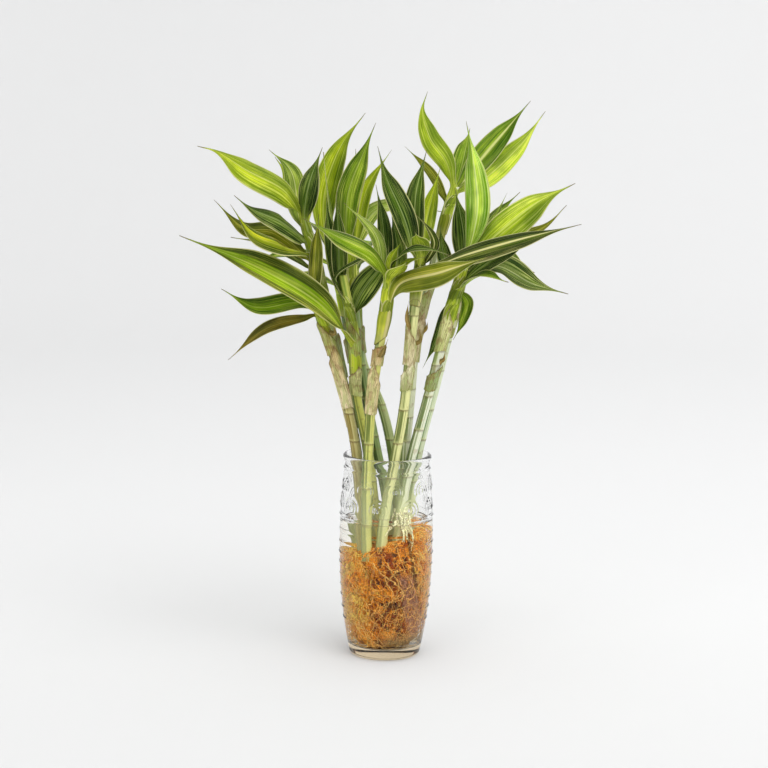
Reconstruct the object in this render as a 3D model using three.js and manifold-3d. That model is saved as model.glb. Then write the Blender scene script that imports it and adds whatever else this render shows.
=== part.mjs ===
// Lucky bamboo: leafy canes rooted in a clear ribbed glass vase of water.
// Millimetres, +Z up. The origin is the centre of the vase's flat underside, and the front looks to -Y.
import * as THREE from 'three';
import { mergeVertices } from 'three/addons/utils/BufferGeometryUtils.js';
import Module from 'manifold-3d';

const wasm = await Module();
wasm.setup();

// Vase
const BELLY_RADIUS = 40.2;
const BELLY_HEIGHT = 104;
const SHOULDER_HEIGHT = 166;
const SHOULDER_DROP = 3.7;
const HEEL_HEIGHT = 5;
const HEEL_DROP = 9;
const HEEL_CURVE = 2.4;
const FOOT_RADIUS = 27;
const FOOT_CHAMFER = [1.3, 1.6];
const BARREL_RING = 17;
const SHOULDER_RINGS = [132, 150];
const NECK_HEIGHT = 169;
const BEAD_HEIGHT = 173.6;
const BEAD_RADIUS = 2.2;
const BEAD_RING_RADIUS = 35.8;
const BEAD_HALF_TURNS = [-0.15, 0.2, 0.5, 0.85];
const WALL = 2.9;
const FLOOR_HEIGHT = 9;
const FLOOR_CORNER = 5;
const RIB_FIRST = 33;
const RIB_PITCH = 9.6;
const RIB_COUNT = 9;
const RIB_DEPTH = 0.7;
const VASE_SIDES = 28;

// Water and roots
const WATER_LEVEL = 120;
const CAVITY_RINGS = [36, 66, BELLY_HEIGHT, WATER_LEVEL, 146];
const ROOT_BOTTOM = 12;
const ROOT_TOP = 97;
const ROOT_TILT = 0.36;
const ROOT_TILT_START = 40;
const ROOT_INSET = 2.4;
const ROOT_CORE_INSET = 2.6;
const ROOT_SIDES = 14;
const ROOT_RINGS = 5;
const ROOT_BASE_INSET = 6;
const ROOT_CROWN_SHARE = 0.55;
const ROOT_CROWN_RISE = 4;
const ROOT_PEAK_RISE = 6;
const FURROW_COUNT = 7;
const FURROW_DEPTH = 0.035;
const FURROW_SLANT = 0.11;
const FURROW_WAVE = 0.17;
const STRAND_COUNT = 6;
const STRAND_RADIUS = 1.3;
const STRAND_STEPS = 6;
const STRAND_SIDES = 5;
const STRAND_BENDS = 4;
const STRAND_TURN = 2.4;
const STRAND_SWEEPS = [-0.8, 1.1];
const STRAND_INSET = 6;

// Canes and leaves
const CANE_RADIUS = 4.5;
const CANE_SIDES = 8;
const NODE_STEP = 32;
const FIRST_NODE_SHARE = 0.7;
const NODE_SWELL = 0.45;
const SHEATH_SWELL = 0.7;
const TIP_TAPER = 0.85;
const BLADE_THICKNESS = 0.8;
const BLADE_BASE_THICKNESS = 1.6;
const BLADE_STATIONS = [0, 0.12, 0.28, 0.45, 0.63, 0.82, 1];
const BLADE_THINS_BY = 0.25;
const BLADE_LEAN = 0.9;
const BLADE_SLIMNESS = 1.25;
const BLADE_FOOT_SHARE = 0.36;
const BLADE_TIP_SHARE = 0.045;
const FOOT_FOLD = 60;
const OPEN_FOLD = 17;
const OPENS_BY = 0.35;
const TURN_RANGE = [0.05, 0.4];
const FOOT_LIFT = 0.3;
const LYING_RISE = 40;
const CLASP_RISE = 13;
const GAP = 0.35;
const HOLE_PLAY = 0.8;
const HOLE_RING_STEP = 22;

const UP = new THREE.Vector3(0, 0, 1);
const SAME_POINT = 1e-4;

// Each cane is a list of points up its middle line, its papery sheath from one height to another, and
// its leaves. A leaf has the height that it springs from, the points that its midrib passes, the last of
// them its tip, its width, and the way that its broad face looks: degrees round from the front, and up.
const CANES = {
  cane_far_left: {
    route: [
      [-15, -13, 74], [-21, -12, 120], [-26.2, -10, 174], [-34, -10, 215], [-46, -11, 258], [-55, -13, 286],
      [-66, -16, 318],
    ],
    sheath: [217, 284],
    leaves: [
      {
        from: 287, via: [[-75, -28, 308], [-111, -42, 305]], tip: [-139, -50, 321],
        width: 22, face: [0, 45],
      },
      {
        from: 281, via: [[-72, -14, 293], [-104, -16, 284]], tip: [-136, -16, 257],
        width: 12, face: [-10, 35],
      },
      { from: 298, via: [[-63, -21, 344]], tip: [-60, -24, 382], width: 14, face: [-20, 10] },
      { from: 300, via: [[-92, 26, 326]], tip: [-130, 48, 332], width: 22, face: [160, 60] },
    ],
  },
  cane_left: {
    route: [
      [-15, 13, 76], [-23, 12, 118], [-26.2, 8.8, 174], [-35, 9, 217], [-43, 8, 255], [-52, 4, 292],
      [-63, -4, 338], [-73, -14, 378],
    ],
    sheath: [196, 262],
    leaves: [
      {
        from: 367, via: [[-89, -38, 402], [-119, -52, 419], [-143, -56, 434]], tip: [-158, -58, 438],
        width: 27, face: [0, 35],
      },
      { from: 360, via: [[-84, -10, 416]], tip: [-103, -6, 434], width: 19, face: [0, 20] },
      { from: 356, via: [[-82, 6, 403]], tip: [-99, 14, 427], width: 24, face: [10, 15] },
      { from: 365, via: [[-68, -40, 407]], tip: [-57, -46, 438], width: 19, face: [-15, 5] },
      {
        from: 342, via: [[-91, -38, 376], [-115, -46, 387]], tip: [-129, -48, 398],
        width: 21, face: [0, 40],
      },
      {
        from: 331, via: [[-90, -50, 357], [-113, -64, 368]], tip: [-130, -72, 392],
        width: 18, face: [-15, 40],
      },
      {
        from: 326, via: [[-97, -24, 367], [-122, -28, 370]], tip: [-147, -30, 393],
        width: 18, face: [0, 30],
      },
      { from: 318, via: [[-83, -10, 344], [-112, -6, 356]], tip: [-135, -4, 360], width: 11, face: [0, 60] },
    ],
  },
  cane_mid_left: {
    route: [
      [-3, 13, 78], [-11, 10, 132], [-16.5, 7, 174], [-27.5, -1, 228], [-29, -5, 268], [-34, -8, 300],
      [-40, -9, 330],
    ],
    sheath: [226, 250],
    leaves: [
      {
        from: 255, via: [[-56, -38, 306], [-103, -48, 336]], tip: [-173, -56, 365],
        width: 33, face: [0, 45],
      },
      { from: 293, via: [[-45, -14, 328], [-21, -15, 345]], tip: [13, -14, 370], width: 12, face: [0, 80] },
      { from: 300, via: [[-44, -6, 359]], tip: [-46, -8, 400], width: 15, face: [15, 0] },
      { from: 304, via: [[-52, 8, 379]], tip: [-58, 12, 432], width: 9, face: [80, 0] },
      { from: 283, via: [[-25, 0, 312]], tip: [4, 8, 350], width: 24, face: [0, 20] },
      { from: 297, via: [[-51, -5, 361]], tip: [-55, -5, 397], width: 15, face: [20, 0] },
    ],
  },
  cane_back_left: {
    route: [[-6, 25, 76], [-12, 24, 130], [-17.5, 22, 174], [-31, 27, 253], [-44, 40, 318], [-51, 42, 345]],
    sheath: [250, 280],
    leaves: [
      { from: 334, via: [[-58, 36, 390], [-45, 30, 434]], tip: [-23, 28, 465], width: 24, face: [0, 5] },
      { from: 318, via: [[-84, 60, 340]], tip: [-122, 72, 333], width: 22, face: [150, 60] },
      { from: 326, via: [[-66, 80, 362]], tip: [-84, 118, 366], width: 23, face: [165, 60] },
      { from: 300, via: [[-70, 66, 318]], tip: [-98, 92, 290], width: 19, face: [140, 50] },
    ],
  },
  cane_back: {
    route: [
      [4, 4, 80], [0, 9, 133], [-9, 15.5, 174], [-15, 16, 202], [-21, 17, 232], [-28, 20, 280],
      [-34, 24, 340],
    ],
    sheath: [262, 292],
    leaves: [
      { from: 334, via: [[-37, 20, 395], [-24, 18, 432]], tip: [-14, 18, 457], width: 23, face: [-10, 0] },
      { from: 336, via: [[-21, 34, 400]], tip: [0, 38, 434], width: 12, face: [10, 20] },
      { from: 330, via: [[-14, 48, 379], [17, 58, 384]], tip: [47, 62, 379], width: 19, face: [0, 60] },
      { from: 318, via: [[8, 62, 350]], tip: [44, 92, 352], width: 22, face: [190, 55] },
    ],
  },
  cane_crossing: {
    route: [
      [10, 20, 77], [9, 21, 130], [4, 22, 174], [-6, 28, 213], [-22, 36, 248], [-27, 44, 276],
      [-30, 52, 306], [-33, 58, 340],
    ],
    sheath: [258, 282],
    leaves: [
      { from: 330, via: [[-30, 76, 385]], tip: [-32, 92, 432], width: 22, face: [180, 5] },
      { from: 322, via: [[-52, 92, 362]], tip: [-70, 134, 352], width: 24, face: [170, 60] },
      { from: 310, via: [[-18, 98, 349]], tip: [-8, 138, 338], width: 23, face: [185, 60] },
      { from: 297, via: [[-36, 92, 315]], tip: [-42, 122, 284], width: 20, face: [180, 40] },
    ],
  },
  cane_centre: {
    route: [
      [-15, -23, 87], [-17, -24, 140], [-16.5, -21.8, 174], [-14, -24, 225], [-8, -29, 272], [-4, -32, 297],
      [-1, -34, 325],
    ],
    sheath: [210, 256],
    leaves: [
      { from: 317, via: [[-15, -54, 352], [-45, -70, 368]], tip: [-71, -78, 382], width: 20, face: [0, 40] },
      { from: 302, via: [[5, -50, 333], [41, -76, 337]], tip: [82, -84, 355], width: 24, face: [0, 15] },
      { from: 318, via: [[-12, -38, 366]], tip: [-39, -44, 393], width: 11, face: [0, 40] },
      { from: 314, via: [[6, -64, 338]], tip: [13, -98, 350], width: 17, face: [0, 65] },
      { from: 320, via: [[-7, -24, 375]], tip: [-13, -22, 407], width: 15, face: [30, 0] },
      { from: 306, via: [[6, -24, 348]], tip: [0, -20, 386], width: 17, face: [0, 10] },
    ],
  },
  cane_front: {
    route: [
      [-4, -24, 97], [-1, -25, 131], [6, -26, 174], [13, -30, 219], [17.5, -35, 269], [22, -38, 320],
      [25, -37, 345],
    ],
    sheath: [246, 262],
    leaves: [
      { from: 331, via: [[12, -36, 377], [-5, -32, 415]], tip: [-12, -30, 439], width: 21, face: [15, 10] },
      { from: 336, via: [[20, -26, 395]], tip: [29, -18, 437], width: 18, face: [-10, 0] },
      { from: 332, via: [[24, -64, 360]], tip: [19, -98, 374], width: 17, face: [0, 60] },
      { from: 328, via: [[36, -46, 360], [29, -50, 375]], tip: [20, -52, 385], width: 9, face: [0, 50] },
      { from: 338, via: [[31, -14, 382]], tip: [41, -8, 423], width: 15, face: [0, 0] },
      { from: 322, via: [[51, -50, 348], [97, -70, 365]], tip: [153, -82, 381], width: 20, face: [0, 35] },
    ],
  },
  cane_tall: {
    route: [
      [14, -4, 104], [15, -7, 174], [18.5, -5, 222], [23, 2, 275], [34, 9, 325], [46, 13, 376],
      [54, 14, 404],
    ],
    sheath: [262, 300],
    leaves: [
      {
        from: 392, via: [[46, 4, 425], [32, 0, 445], [25, 0, 468]], tip: [29, 2, 484],
        width: 19, face: [0, 0],
      },
      { from: 389, via: [[74, 30, 424], [99, 36, 454]], tip: [118, 38, 477], width: 22, face: [0, 20] },
      { from: 383, via: [[80, 46, 409], [111, 58, 438]], tip: [133, 64, 468], width: 22, face: [0, 25] },
      { from: 376, via: [[35, 26, 413]], tip: [11, 34, 437], width: 9, face: [0, 20] },
      { from: 390, via: [[62, 42, 428]], tip: [68, 72, 452], width: 20, face: [170, 20] },
    ],
  },
  cane_right: {
    route: [
      [6, -12, 81], [13, -18, 137], [20, -18, 174], [34, -17, 230], [47, -21, 285], [61, -24, 340],
    ],
    sheath: [268, 296],
    leaves: [
      { from: 335, via: [[71, -40, 386], [67, -46, 427]], tip: [60, -46, 461], width: 22, face: [-5, 0] },
      { from: 330, via: [[86, -38, 367], [119, -46, 395]], tip: [150, -50, 412], width: 31, face: [0, 30] },
      { from: 322, via: [[90, -8, 339], [122, 2, 323]], tip: [152, 6, 315], width: 27, face: [0, 45] },
      { from: 314, via: [[80, -28, 343], [100, -24, 353]], tip: [121, -20, 365], width: 17, face: [0, 40] },
      { from: 306, via: [[74, -52, 335]], tip: [95, -88, 334], width: 16, face: [0, 60] },
      { from: 337, via: [[82, -26, 373]], tip: [96, -26, 402], width: 9, face: [0, 20] },
      { from: 326, via: [[61, -20, 366]], tip: [53, -18, 405], width: 20, face: [-20, 0] },
      { from: 302, via: [[66, -18, 310], [62, -17, 293]], tip: [54, -16, 277], width: 12, face: [-30, 10] },
      { from: 318, via: [[46, -10, 344]], tip: [41, -8, 374], width: 14, face: [10, 10] },
    ],
  },
  cane_far_right: {
    route: [[13, 10, 65], [21, 10, 133], [26.3, 8, 174], [42, 11, 239], [54, 15, 291], [64, 19, 340]],
    sheath: [286, 306],
    leaves: [
      { from: 318, via: [[97, 16, 355], [131, 14, 371]], tip: [149, 12, 390], width: 15, face: [0, 50] },
      { from: 294, via: [[48, 4, 298], [41, 2, 276]], tip: [29, 0, 250], width: 11, face: [-20, 0] },
      { from: 326, via: [[69, 24, 362]], tip: [78, 28, 386], width: 16, face: [0, 0] },
      { from: 308, via: [[92, 46, 342]], tip: [128, 76, 326], width: 22, face: [200, 60] },
      { from: 324, via: [[72, 62, 362]], tip: [82, 98, 376], width: 22, face: [185, 50] },
      { from: 330, via: [[88, 42, 376]], tip: [112, 56, 398], width: 18, face: [190, 30] },
    ],
  },
};

// A solid from any closed geometry: shared points are merged and flat triangles dropped.
function solidOf(geometry) {
  const bare = geometry.clone();
  bare.deleteAttribute('normal');
  bare.deleteAttribute('uv');
  const merged = mergeVertices(bare, SAME_POINT);
  const index = Array.from(merged.index.array);
  const kept = [];
  for (let i = 0; i < index.length; i += 3) {
    const [a, b, c] = index.slice(i, i + 3);
    if (a !== b && b !== c && c !== a) kept.push(a, b, c);
  }
  const mesh = new wasm.Mesh({
    numProp: 3,
    vertProperties: new Float32Array(merged.attributes.position.array),
    triVerts: new Uint32Array(kept),
  });
  return new wasm.Manifold(mesh);
}

function geometryOf(solid) {
  const mesh = solid.getMesh();
  const geometry = new THREE.BufferGeometry();
  geometry.setAttribute('position', new THREE.BufferAttribute(new Float32Array(mesh.vertProperties), 3));
  geometry.setIndex(new THREE.BufferAttribute(new Uint32Array(mesh.triVerts), 1));
  return geometry;
}

// A solid turned round the Z axis from [radius, height] points.
function turned(profile, sides) {
  const points = profile.map(([radius, height]) => new THREE.Vector2(radius, height));
  return new THREE.LatheGeometry(points, sides).rotateX(Math.PI / 2);
}

// The vase's outer radius without its ribs: a barrel, widest at the belly.
function bodyRadius(height) {
  if (height >= BELLY_HEIGHT) {
    const rise = (height - BELLY_HEIGHT) / (SHOULDER_HEIGHT - BELLY_HEIGHT);
    return BELLY_RADIUS - SHOULDER_DROP * rise ** 2;
  }
  const fall = (BELLY_HEIGHT - height) / (BELLY_HEIGHT - HEEL_HEIGHT);
  return BELLY_RADIUS - HEEL_DROP * fall ** HEEL_CURVE;
}

function vaseProfile() {
  const outside = [[0, 0], [FOOT_RADIUS, 0], [bodyRadius(HEEL_HEIGHT) - FOOT_CHAMFER[0], FOOT_CHAMFER[1]]];
  for (const height of [HEEL_HEIGHT, BARREL_RING, RIB_FIRST - RIB_PITCH / 2]) {
    outside.push([bodyRadius(height), height]);
  }
  for (let rib = 0; rib < RIB_COUNT; rib += 1) {
    const crest = RIB_FIRST + rib * RIB_PITCH;
    const valley = crest + RIB_PITCH / 2;
    outside.push([bodyRadius(crest) + RIB_DEPTH, crest], [bodyRadius(valley), valley]);
  }
  for (const height of [...SHOULDER_RINGS, SHOULDER_HEIGHT, NECK_HEIGHT]) {
    outside.push([bodyRadius(height), height]);
  }
  const bead = BEAD_HALF_TURNS.map((turn) => [
    BEAD_RING_RADIUS + BEAD_RADIUS * Math.cos(turn * Math.PI),
    BEAD_HEIGHT + BEAD_RADIUS * Math.sin(turn * Math.PI),
  ]);
  return [...outside, ...bead, ...cavityProfile(0, NECK_HEIGHT).reverse()];
}

// The inside of the vase from the middle of its floor up to a height, drawn in by a clearance.
function cavityProfile(clearance, top) {
  const floor = FLOOR_HEIGHT + clearance;
  const wall = (height) => bodyRadius(height) - WALL - clearance;
  const profile = [[0, floor], [wall(floor + FLOOR_CORNER) - FLOOR_CORNER, floor]];
  for (const height of [floor + FLOOR_CORNER, ...CAVITY_RINGS]) {
    if (height < top) profile.push([wall(height), height]);
  }
  profile.push([wall(top), top]);
  return profile;
}

function vaseSolid() {
  return solidOf(turned(vaseProfile(), VASE_SIDES));
}

// The middle of a cane at a height: straight runs between its points, eased at each one.
function caneCentre(route, height) {
  let first = 0;
  while (first < route.length - 2 && height > route[first + 1][2]) first += 1;
  const slope = (at) => {
    const before = route[Math.max(at - 1, 0)];
    const after = route[Math.min(at + 1, route.length - 1)];
    return [0, 1].map((axis) => (after[axis] - before[axis]) / (after[2] - before[2]));
  };
  const low = route[first];
  const high = route[first + 1];
  const span = high[2] - low[2];
  const share = (height - low[2]) / span;
  if (share > 1) return new THREE.Vector3(high[0], high[1], height);
  const blend = [
    2 * share ** 3 - 3 * share ** 2 + 1, share ** 3 - 2 * share ** 2 + share,
    3 * share ** 2 - 2 * share ** 3, share ** 3 - share ** 2,
  ];
  const [x, y] = [0, 1].map((axis) => blend[0] * low[axis] + blend[1] * span * slope(first)[axis]
    + blend[2] * high[axis] + blend[3] * span * slope(first + 1)[axis]);
  return new THREE.Vector3(x, y, height);
}

// A straight turned stick bent along a cane's route: each ring moves to the middle line at its height.
function bentStick(profile, route) {
  const stick = turned(profile, CANE_SIDES);
  const place = stick.attributes.position;
  for (let i = 0; i < place.count; i += 1) {
    const centre = caneCentre(route, place.getZ(i));
    place.setXY(i, place.getX(i) + centre.x, place.getY(i) + centre.y);
  }
  return solidOf(stick);
}

// A bare cane: a swelling over each node, and thicker where a papery sheath wraps it.
function caneStick({ route, sheath }) {
  const bottom = route[0][2];
  const top = route.at(-1)[2];
  const [sheathLow, sheathHigh] = sheath;
  const swell = (height) => (height > sheathLow && height < sheathHigh ? SHEATH_SWELL : 0);
  const profile = [[0, bottom], [CANE_RADIUS, bottom]];
  for (let node = bottom + NODE_STEP * FIRST_NODE_SHARE; node < top - NODE_STEP / 2; node += NODE_STEP) {
    const radius = CANE_RADIUS + swell(node);
    profile.push([radius, node - 1], [radius + NODE_SWELL, node]);
  }
  profile.push([CANE_RADIUS * TIP_TAPER, top], [0, top]);
  return bentStick(profile, route);
}

// The plain hole that a cane stands in, clear of its swellings, from its cut end to above the water.
function caneHole({ route }) {
  const radius = CANE_RADIUS + NODE_SWELL + HOLE_PLAY;
  const bottom = route[0][2] - GAP;
  const rings = Math.ceil((WATER_LEVEL - bottom) / HOLE_RING_STEP);
  const profile = [[0, bottom]];
  for (let ring = 0; ring <= rings; ring += 1) profile.push([radius, bottom + ring * HOLE_RING_STEP]);
  profile.push([0, bottom + rings * HOLE_RING_STEP]);
  return bentStick(profile, route);
}

// How wide a blade is along its length, as a share of its full width: a clasping foot, a full middle
// and a long drawn-out point.
function bladeShare(along) {
  const body = Math.max(Math.sin(Math.PI * along ** BLADE_LEAN), 0) ** BLADE_SLIMNESS;
  return Math.max(body, BLADE_FOOT_SHARE * (1 - along) ** 2, BLADE_TIP_SHARE);
}

// The angle that each half of the blade is folded up by: closed round the cane, open further out.
function bladeFold(along) {
  const opening = THREE.MathUtils.smoothstep(along, 0, OPENS_BY);
  return THREE.MathUtils.degToRad(THREE.MathUtils.lerp(FOOT_FOLD, OPEN_FOLD, opening));
}

function bladeCurve(leaf, route) {
  const foot = caneCentre(route, leaf.from);
  const clasp = caneCentre(route, leaf.from + CLASP_RISE);
  const [firstVia] = leaf.via;
  const outward = new THREE.Vector3(firstVia[0] - clasp.x, firstVia[1] - clasp.y, 0).normalize();
  clasp.addScaledVector(outward, CANE_RADIUS);
  const points = [foot, clasp, ...[...leaf.via, leaf.tip].map((point) => new THREE.Vector3(...point))];
  return { curve: new THREE.CatmullRomCurve3(points, false, 'centripetal'), outward };
}

// The blade's upper face looks at the cane at its foot, and turns to the leaf's own facing further out.
function bladeNormal(leaf, outward, tangent, along) {
  const [turn, rise] = leaf.face.map(THREE.MathUtils.degToRad);
  const facing = new THREE.Vector3(
    Math.sin(turn) * Math.cos(rise), -Math.cos(turn) * Math.cos(rise), Math.sin(rise),
  );
  const inward = outward.clone().negate().addScaledVector(UP, FOOT_LIFT);
  if (facing.dot(inward) < 0 && leaf.face[1] <= LYING_RISE) facing.negate();
  inward.lerp(facing, THREE.MathUtils.smoothstep(along, ...TURN_RANGE));
  return inward.addScaledVector(tangent, -inward.dot(tangent)).normalize();
}

// One blade: a channelled strip along its midrib, its two faces cut into triangles alike.
function bladeSolid(leaf, route) {
  const { curve, outward } = bladeCurve(leaf, route);
  const corners = [];
  for (const along of BLADE_STATIONS) {
    const centre = curve.getPointAt(along);
    const tangent = curve.getTangentAt(along);
    const normal = bladeNormal(leaf, outward, tangent, along);
    const side = new THREE.Vector3().crossVectors(tangent, normal);
    const half = (leaf.width / 2) * bladeShare(along);
    const fold = bladeFold(along);
    const thinned = Math.min(along / BLADE_THINS_BY, 1);
    const thick = THREE.MathUtils.lerp(BLADE_BASE_THICKNESS, BLADE_THICKNESS, thinned);
    const corner = (across, up) => centre.clone()
      .addScaledVector(side, across * half * Math.cos(fold))
      .addScaledVector(normal, Math.abs(across) * half * Math.sin(fold) + up * thick / 2);
    corners.push(corner(-1, 1), corner(0, 1), corner(1, 1), corner(1, -1), corner(0, -1), corner(-1, -1));
  }
  const ring = 6;
  const faces = [];
  const quad = (a, b, c, d) => faces.push(a, b, c, a, c, d);
  for (let station = 0; station < BLADE_STATIONS.length - 1; station += 1) {
    const near = station * ring;
    const far = near + ring;
    quad(near, near + 1, far + 1, far);
    quad(near + 1, near + 2, far + 2, far + 1);
    quad(near + 2, near + 3, far + 3, far + 2);
    quad(far + 3, near + 3, near + 4, far + 4);
    quad(far + 4, near + 4, near + 5, far + 5);
    quad(near + 5, near, far, far + 5);
  }
  const last = (BLADE_STATIONS.length - 1) * ring;
  quad(0, 5, 4, 1);
  quad(1, 4, 3, 2);
  quad(last, last + 1, last + 4, last + 5);
  quad(last + 1, last + 2, last + 3, last + 4);
  const geometry = new THREE.BufferGeometry().setFromPoints(corners);
  geometry.setIndex(faces);
  return solidOf(geometry);
}

function leafyCane(cane) {
  let solid = caneStick(cane);
  for (const leaf of cane.leaves) solid = solid.add(bladeSolid(leaf, cane.route));
  return wholeBody(solid);
}

// The one main body of a fused solid: loose scraps are dropped and sealed hollows filled.
function wholeBody(solid) {
  return solid.decompose().reduce((best, body) => (body.volume() > best.volume() ? body : best));
}

// The radius that the roots reach at a height, just inside the glass.
function rootRadius(height) {
  return bodyRadius(height) - WALL - ROOT_INSET;
}

// The root mass: a packed, furrowed core, drawn in behind the outer roots, its top rising to the right.
function rootMass(grow) {
  const profile = [[0, ROOT_BOTTOM - grow]];
  for (let ring = 0; ring <= ROOT_RINGS; ring += 1) {
    const height = THREE.MathUtils.lerp(ROOT_BOTTOM, ROOT_TOP, ring / ROOT_RINGS);
    const [inset, sunk] = ring === 0 ? [ROOT_BASE_INSET, grow] : [0, 0];
    profile.push([rootRadius(height) - ROOT_CORE_INSET - inset + grow, height - sunk]);
  }
  profile.push([rootRadius(ROOT_TOP) * ROOT_CROWN_SHARE, ROOT_TOP + ROOT_CROWN_RISE + grow]);
  profile.push([0, ROOT_TOP + ROOT_PEAK_RISE + grow]);
  const lump = turned(profile, ROOT_SIDES);
  const place = lump.attributes.position;
  for (let i = 0; i < place.count; i += 1) {
    const [x, y, z] = [place.getX(i), place.getY(i), place.getZ(i)];
    const around = Math.atan2(y, x);
    const wave = Math.sin(FURROW_COUNT * around + z * FURROW_SLANT) * Math.cos(z * FURROW_WAVE);
    const furrow = 1 - FURROW_DEPTH * (1 + wave);
    const rise = THREE.MathUtils.smoothstep(z, ROOT_TILT_START, ROOT_TOP);
    place.setXYZ(i, x * furrow, y * furrow, z + rise * ROOT_TILT * x);
  }
  return solidOf(lump);
}

// One thick root: it leaves the top of the mass, slants down its side and tucks in under it.
function rootStrand(number, grow) {
  const start = number * STRAND_TURN;
  const sweep = STRAND_SWEEPS[number % 2];
  const points = [];
  for (let step = 0; step <= STRAND_BENDS; step += 1) {
    const share = step / STRAND_BENDS;
    const height = THREE.MathUtils.lerp(ROOT_TOP - STRAND_INSET, ROOT_BOTTOM + STRAND_INSET, share);
    const around = start + sweep * share;
    const sunk = step === 0 || step === STRAND_BENDS ? STRAND_INSET : 0;
    const reach = rootRadius(height) - STRAND_RADIUS - sunk;
    points.push(new THREE.Vector3(Math.cos(around) * reach, Math.sin(around) * reach, height));
  }
  const section = new THREE.Shape();
  const radius = STRAND_RADIUS + grow;
  for (let corner = 0; corner < STRAND_SIDES; corner += 1) {
    const turn = (corner / STRAND_SIDES) * 2 * Math.PI;
    const draw = corner === 0 ? 'moveTo' : 'lineTo';
    section[draw](radius * Math.cos(turn), radius * Math.sin(turn));
  }
  const path = new THREE.CatmullRomCurve3(points);
  return solidOf(new THREE.ExtrudeGeometry(section, { steps: STRAND_STEPS, extrudePath: path }));
}

function rootEnvelope(grow) {
  let solid = rootMass(grow);
  for (let number = 0; number < STRAND_COUNT; number += 1) solid = solid.add(rootStrand(number, grow));
  return solid;
}

// The roots with a plain hole for each cane that stands in them.
function rootSolid() {
  let solid = rootEnvelope(0);
  for (const cane of Object.values(CANES)) solid = solid.subtract(caneHole(cane));
  return solid;
}

// The water fills the vase up to its level, round the roots and the canes.
function waterSolid() {
  const body = [...cavityProfile(GAP, WATER_LEVEL), [0, WATER_LEVEL]];
  let solid = solidOf(turned(body, VASE_SIDES)).subtract(rootEnvelope(GAP));
  for (const cane of Object.values(CANES)) solid = solid.subtract(caneHole(cane));
  return solid;
}

function material(color, roughness, extra = {}) {
  return new THREE.MeshStandardMaterial({ color, roughness, metalness: 0, ...extra });
}

function glassMaterial() {
  return material(0xe9efec, 0.05, { transparent: true, opacity: 0.35 });
}

function waterMaterial() {
  return material(0xf2efe2, 0.02, { transparent: true, opacity: 0.3 });
}

function rootMaterial() {
  return material(0xb5651d, 0.75);
}

function leafMaterial() {
  return material(0x7fa03a, 0.5);
}

function part(name, solid, finish) {
  const mesh = new THREE.Mesh(geometryOf(solid), finish);
  mesh.name = name;
  return mesh;
}

const plant = new THREE.Group();
plant.add(part('vase', vaseSolid(), glassMaterial()));
plant.add(part('water', waterSolid(), waterMaterial()));
plant.add(part('roots', rootSolid(), rootMaterial()));
for (const [name, cane] of Object.entries(CANES)) plant.add(part(name, leafyCane(cane), leafMaterial()));

export default plant;
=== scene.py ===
import math
import random
from functools import cache, partialmethod

import bpy
import numpy as np
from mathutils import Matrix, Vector, noise


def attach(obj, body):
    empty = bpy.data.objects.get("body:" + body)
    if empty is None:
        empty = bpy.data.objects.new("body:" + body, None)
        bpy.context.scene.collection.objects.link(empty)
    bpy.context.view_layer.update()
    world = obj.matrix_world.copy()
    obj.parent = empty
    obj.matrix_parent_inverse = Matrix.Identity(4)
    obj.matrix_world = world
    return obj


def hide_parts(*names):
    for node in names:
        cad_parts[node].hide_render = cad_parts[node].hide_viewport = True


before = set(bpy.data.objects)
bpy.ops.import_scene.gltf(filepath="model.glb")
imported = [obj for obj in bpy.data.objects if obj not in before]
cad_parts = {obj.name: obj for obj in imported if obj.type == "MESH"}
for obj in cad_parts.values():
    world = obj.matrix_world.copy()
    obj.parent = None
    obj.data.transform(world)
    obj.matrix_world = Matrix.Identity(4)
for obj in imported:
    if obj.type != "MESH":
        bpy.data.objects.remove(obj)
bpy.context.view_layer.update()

MM = 0.001
TINY = 1e-9

# Camera, in millimetres, degrees and pixels of a 768 pixel frame.
CAMERA_PLACE = (-3.8, -1700, 500)
CAMERA_AIM = (-3.8, 0, 236)
CAMERA_ROLL = 0.85
CAMERA_REACH = 20000
FOCAL_PIXELS = 2012
FRAME_PIXELS = 768
SENSOR_WIDTH = 36

# Light: each lamp's place and size in metres, and its watts.
WORLD_COLOUR = (0.935, 0.938, 0.94, 1)
WORLD_STRENGTH = 0.98
LAMPS = {"key": ((1.3, -1.5, 3.0), 2.4, 42), "fill": ((-1.6, -1.9, 1.2), 1.6, 9)}
LAMP_AIM = (0, 0, 0.2)

# Stage. Its floor colour holds painted light and shade: darker at the front, lighter far back and to the
# right.
STAGE_REACH = 3200
STAGE_SWEEP = 1200
STAGE_WALL = 2400
STAGE_DROP = -0.4
STAGE_SIDES = 96
FLOOR_DEPTHS = (-600, 250)
FLOOR_PAINTED_DEPTH_LIGHT = ((0.75, 0.75, 0.75, 1), (0.835, 0.835, 0.835, 1))
FLOOR_WIDTHS = (-800, 1000)
FLOOR_PAINTED_SIDE_LIGHT = ((0.98, 0.98, 0.98, 1), (1.04, 1.04, 1.04, 1))

# Vase. The bead's turns are half turns; a rib's sway and fade have a size, a number of waves round the vase
# and a shift from rib to rib; the relief starts and ends over a range of heights.
BELLY_RADIUS = 40.2
BELLY_HEIGHT = 104
SHOULDER_HEIGHT = 166
SHOULDER_DROP = 3.7
HEEL_HEIGHT = 5
HEEL_DROP = 9
HEEL_CURVE = 2.4
FOOT_RADIUS = 27
FOOT_ROUNDS = [(28.9, 0.25), (30.2, 1.3), (31.0, 3.0)]
BEAD_HEIGHT = 173.6
BEAD_RADIUS = 2.2
BEAD_RING_RADIUS = 35.8
BEAD_TURNS = (-0.2, 0.95)
NECK_HEIGHT = 169
WALL = 2.9
FLOOR_HEIGHT = 9
FLOOR_CORNER = 5
RIB_FIRST = 33
RIB_PITCH = 9.6
RIB_COUNT = 9
RIB_DEPTH = 0.85
RIB_HALF_WIDTH = 0.9
RIB_SWAY = (0.5, 3, 2.1)
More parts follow.
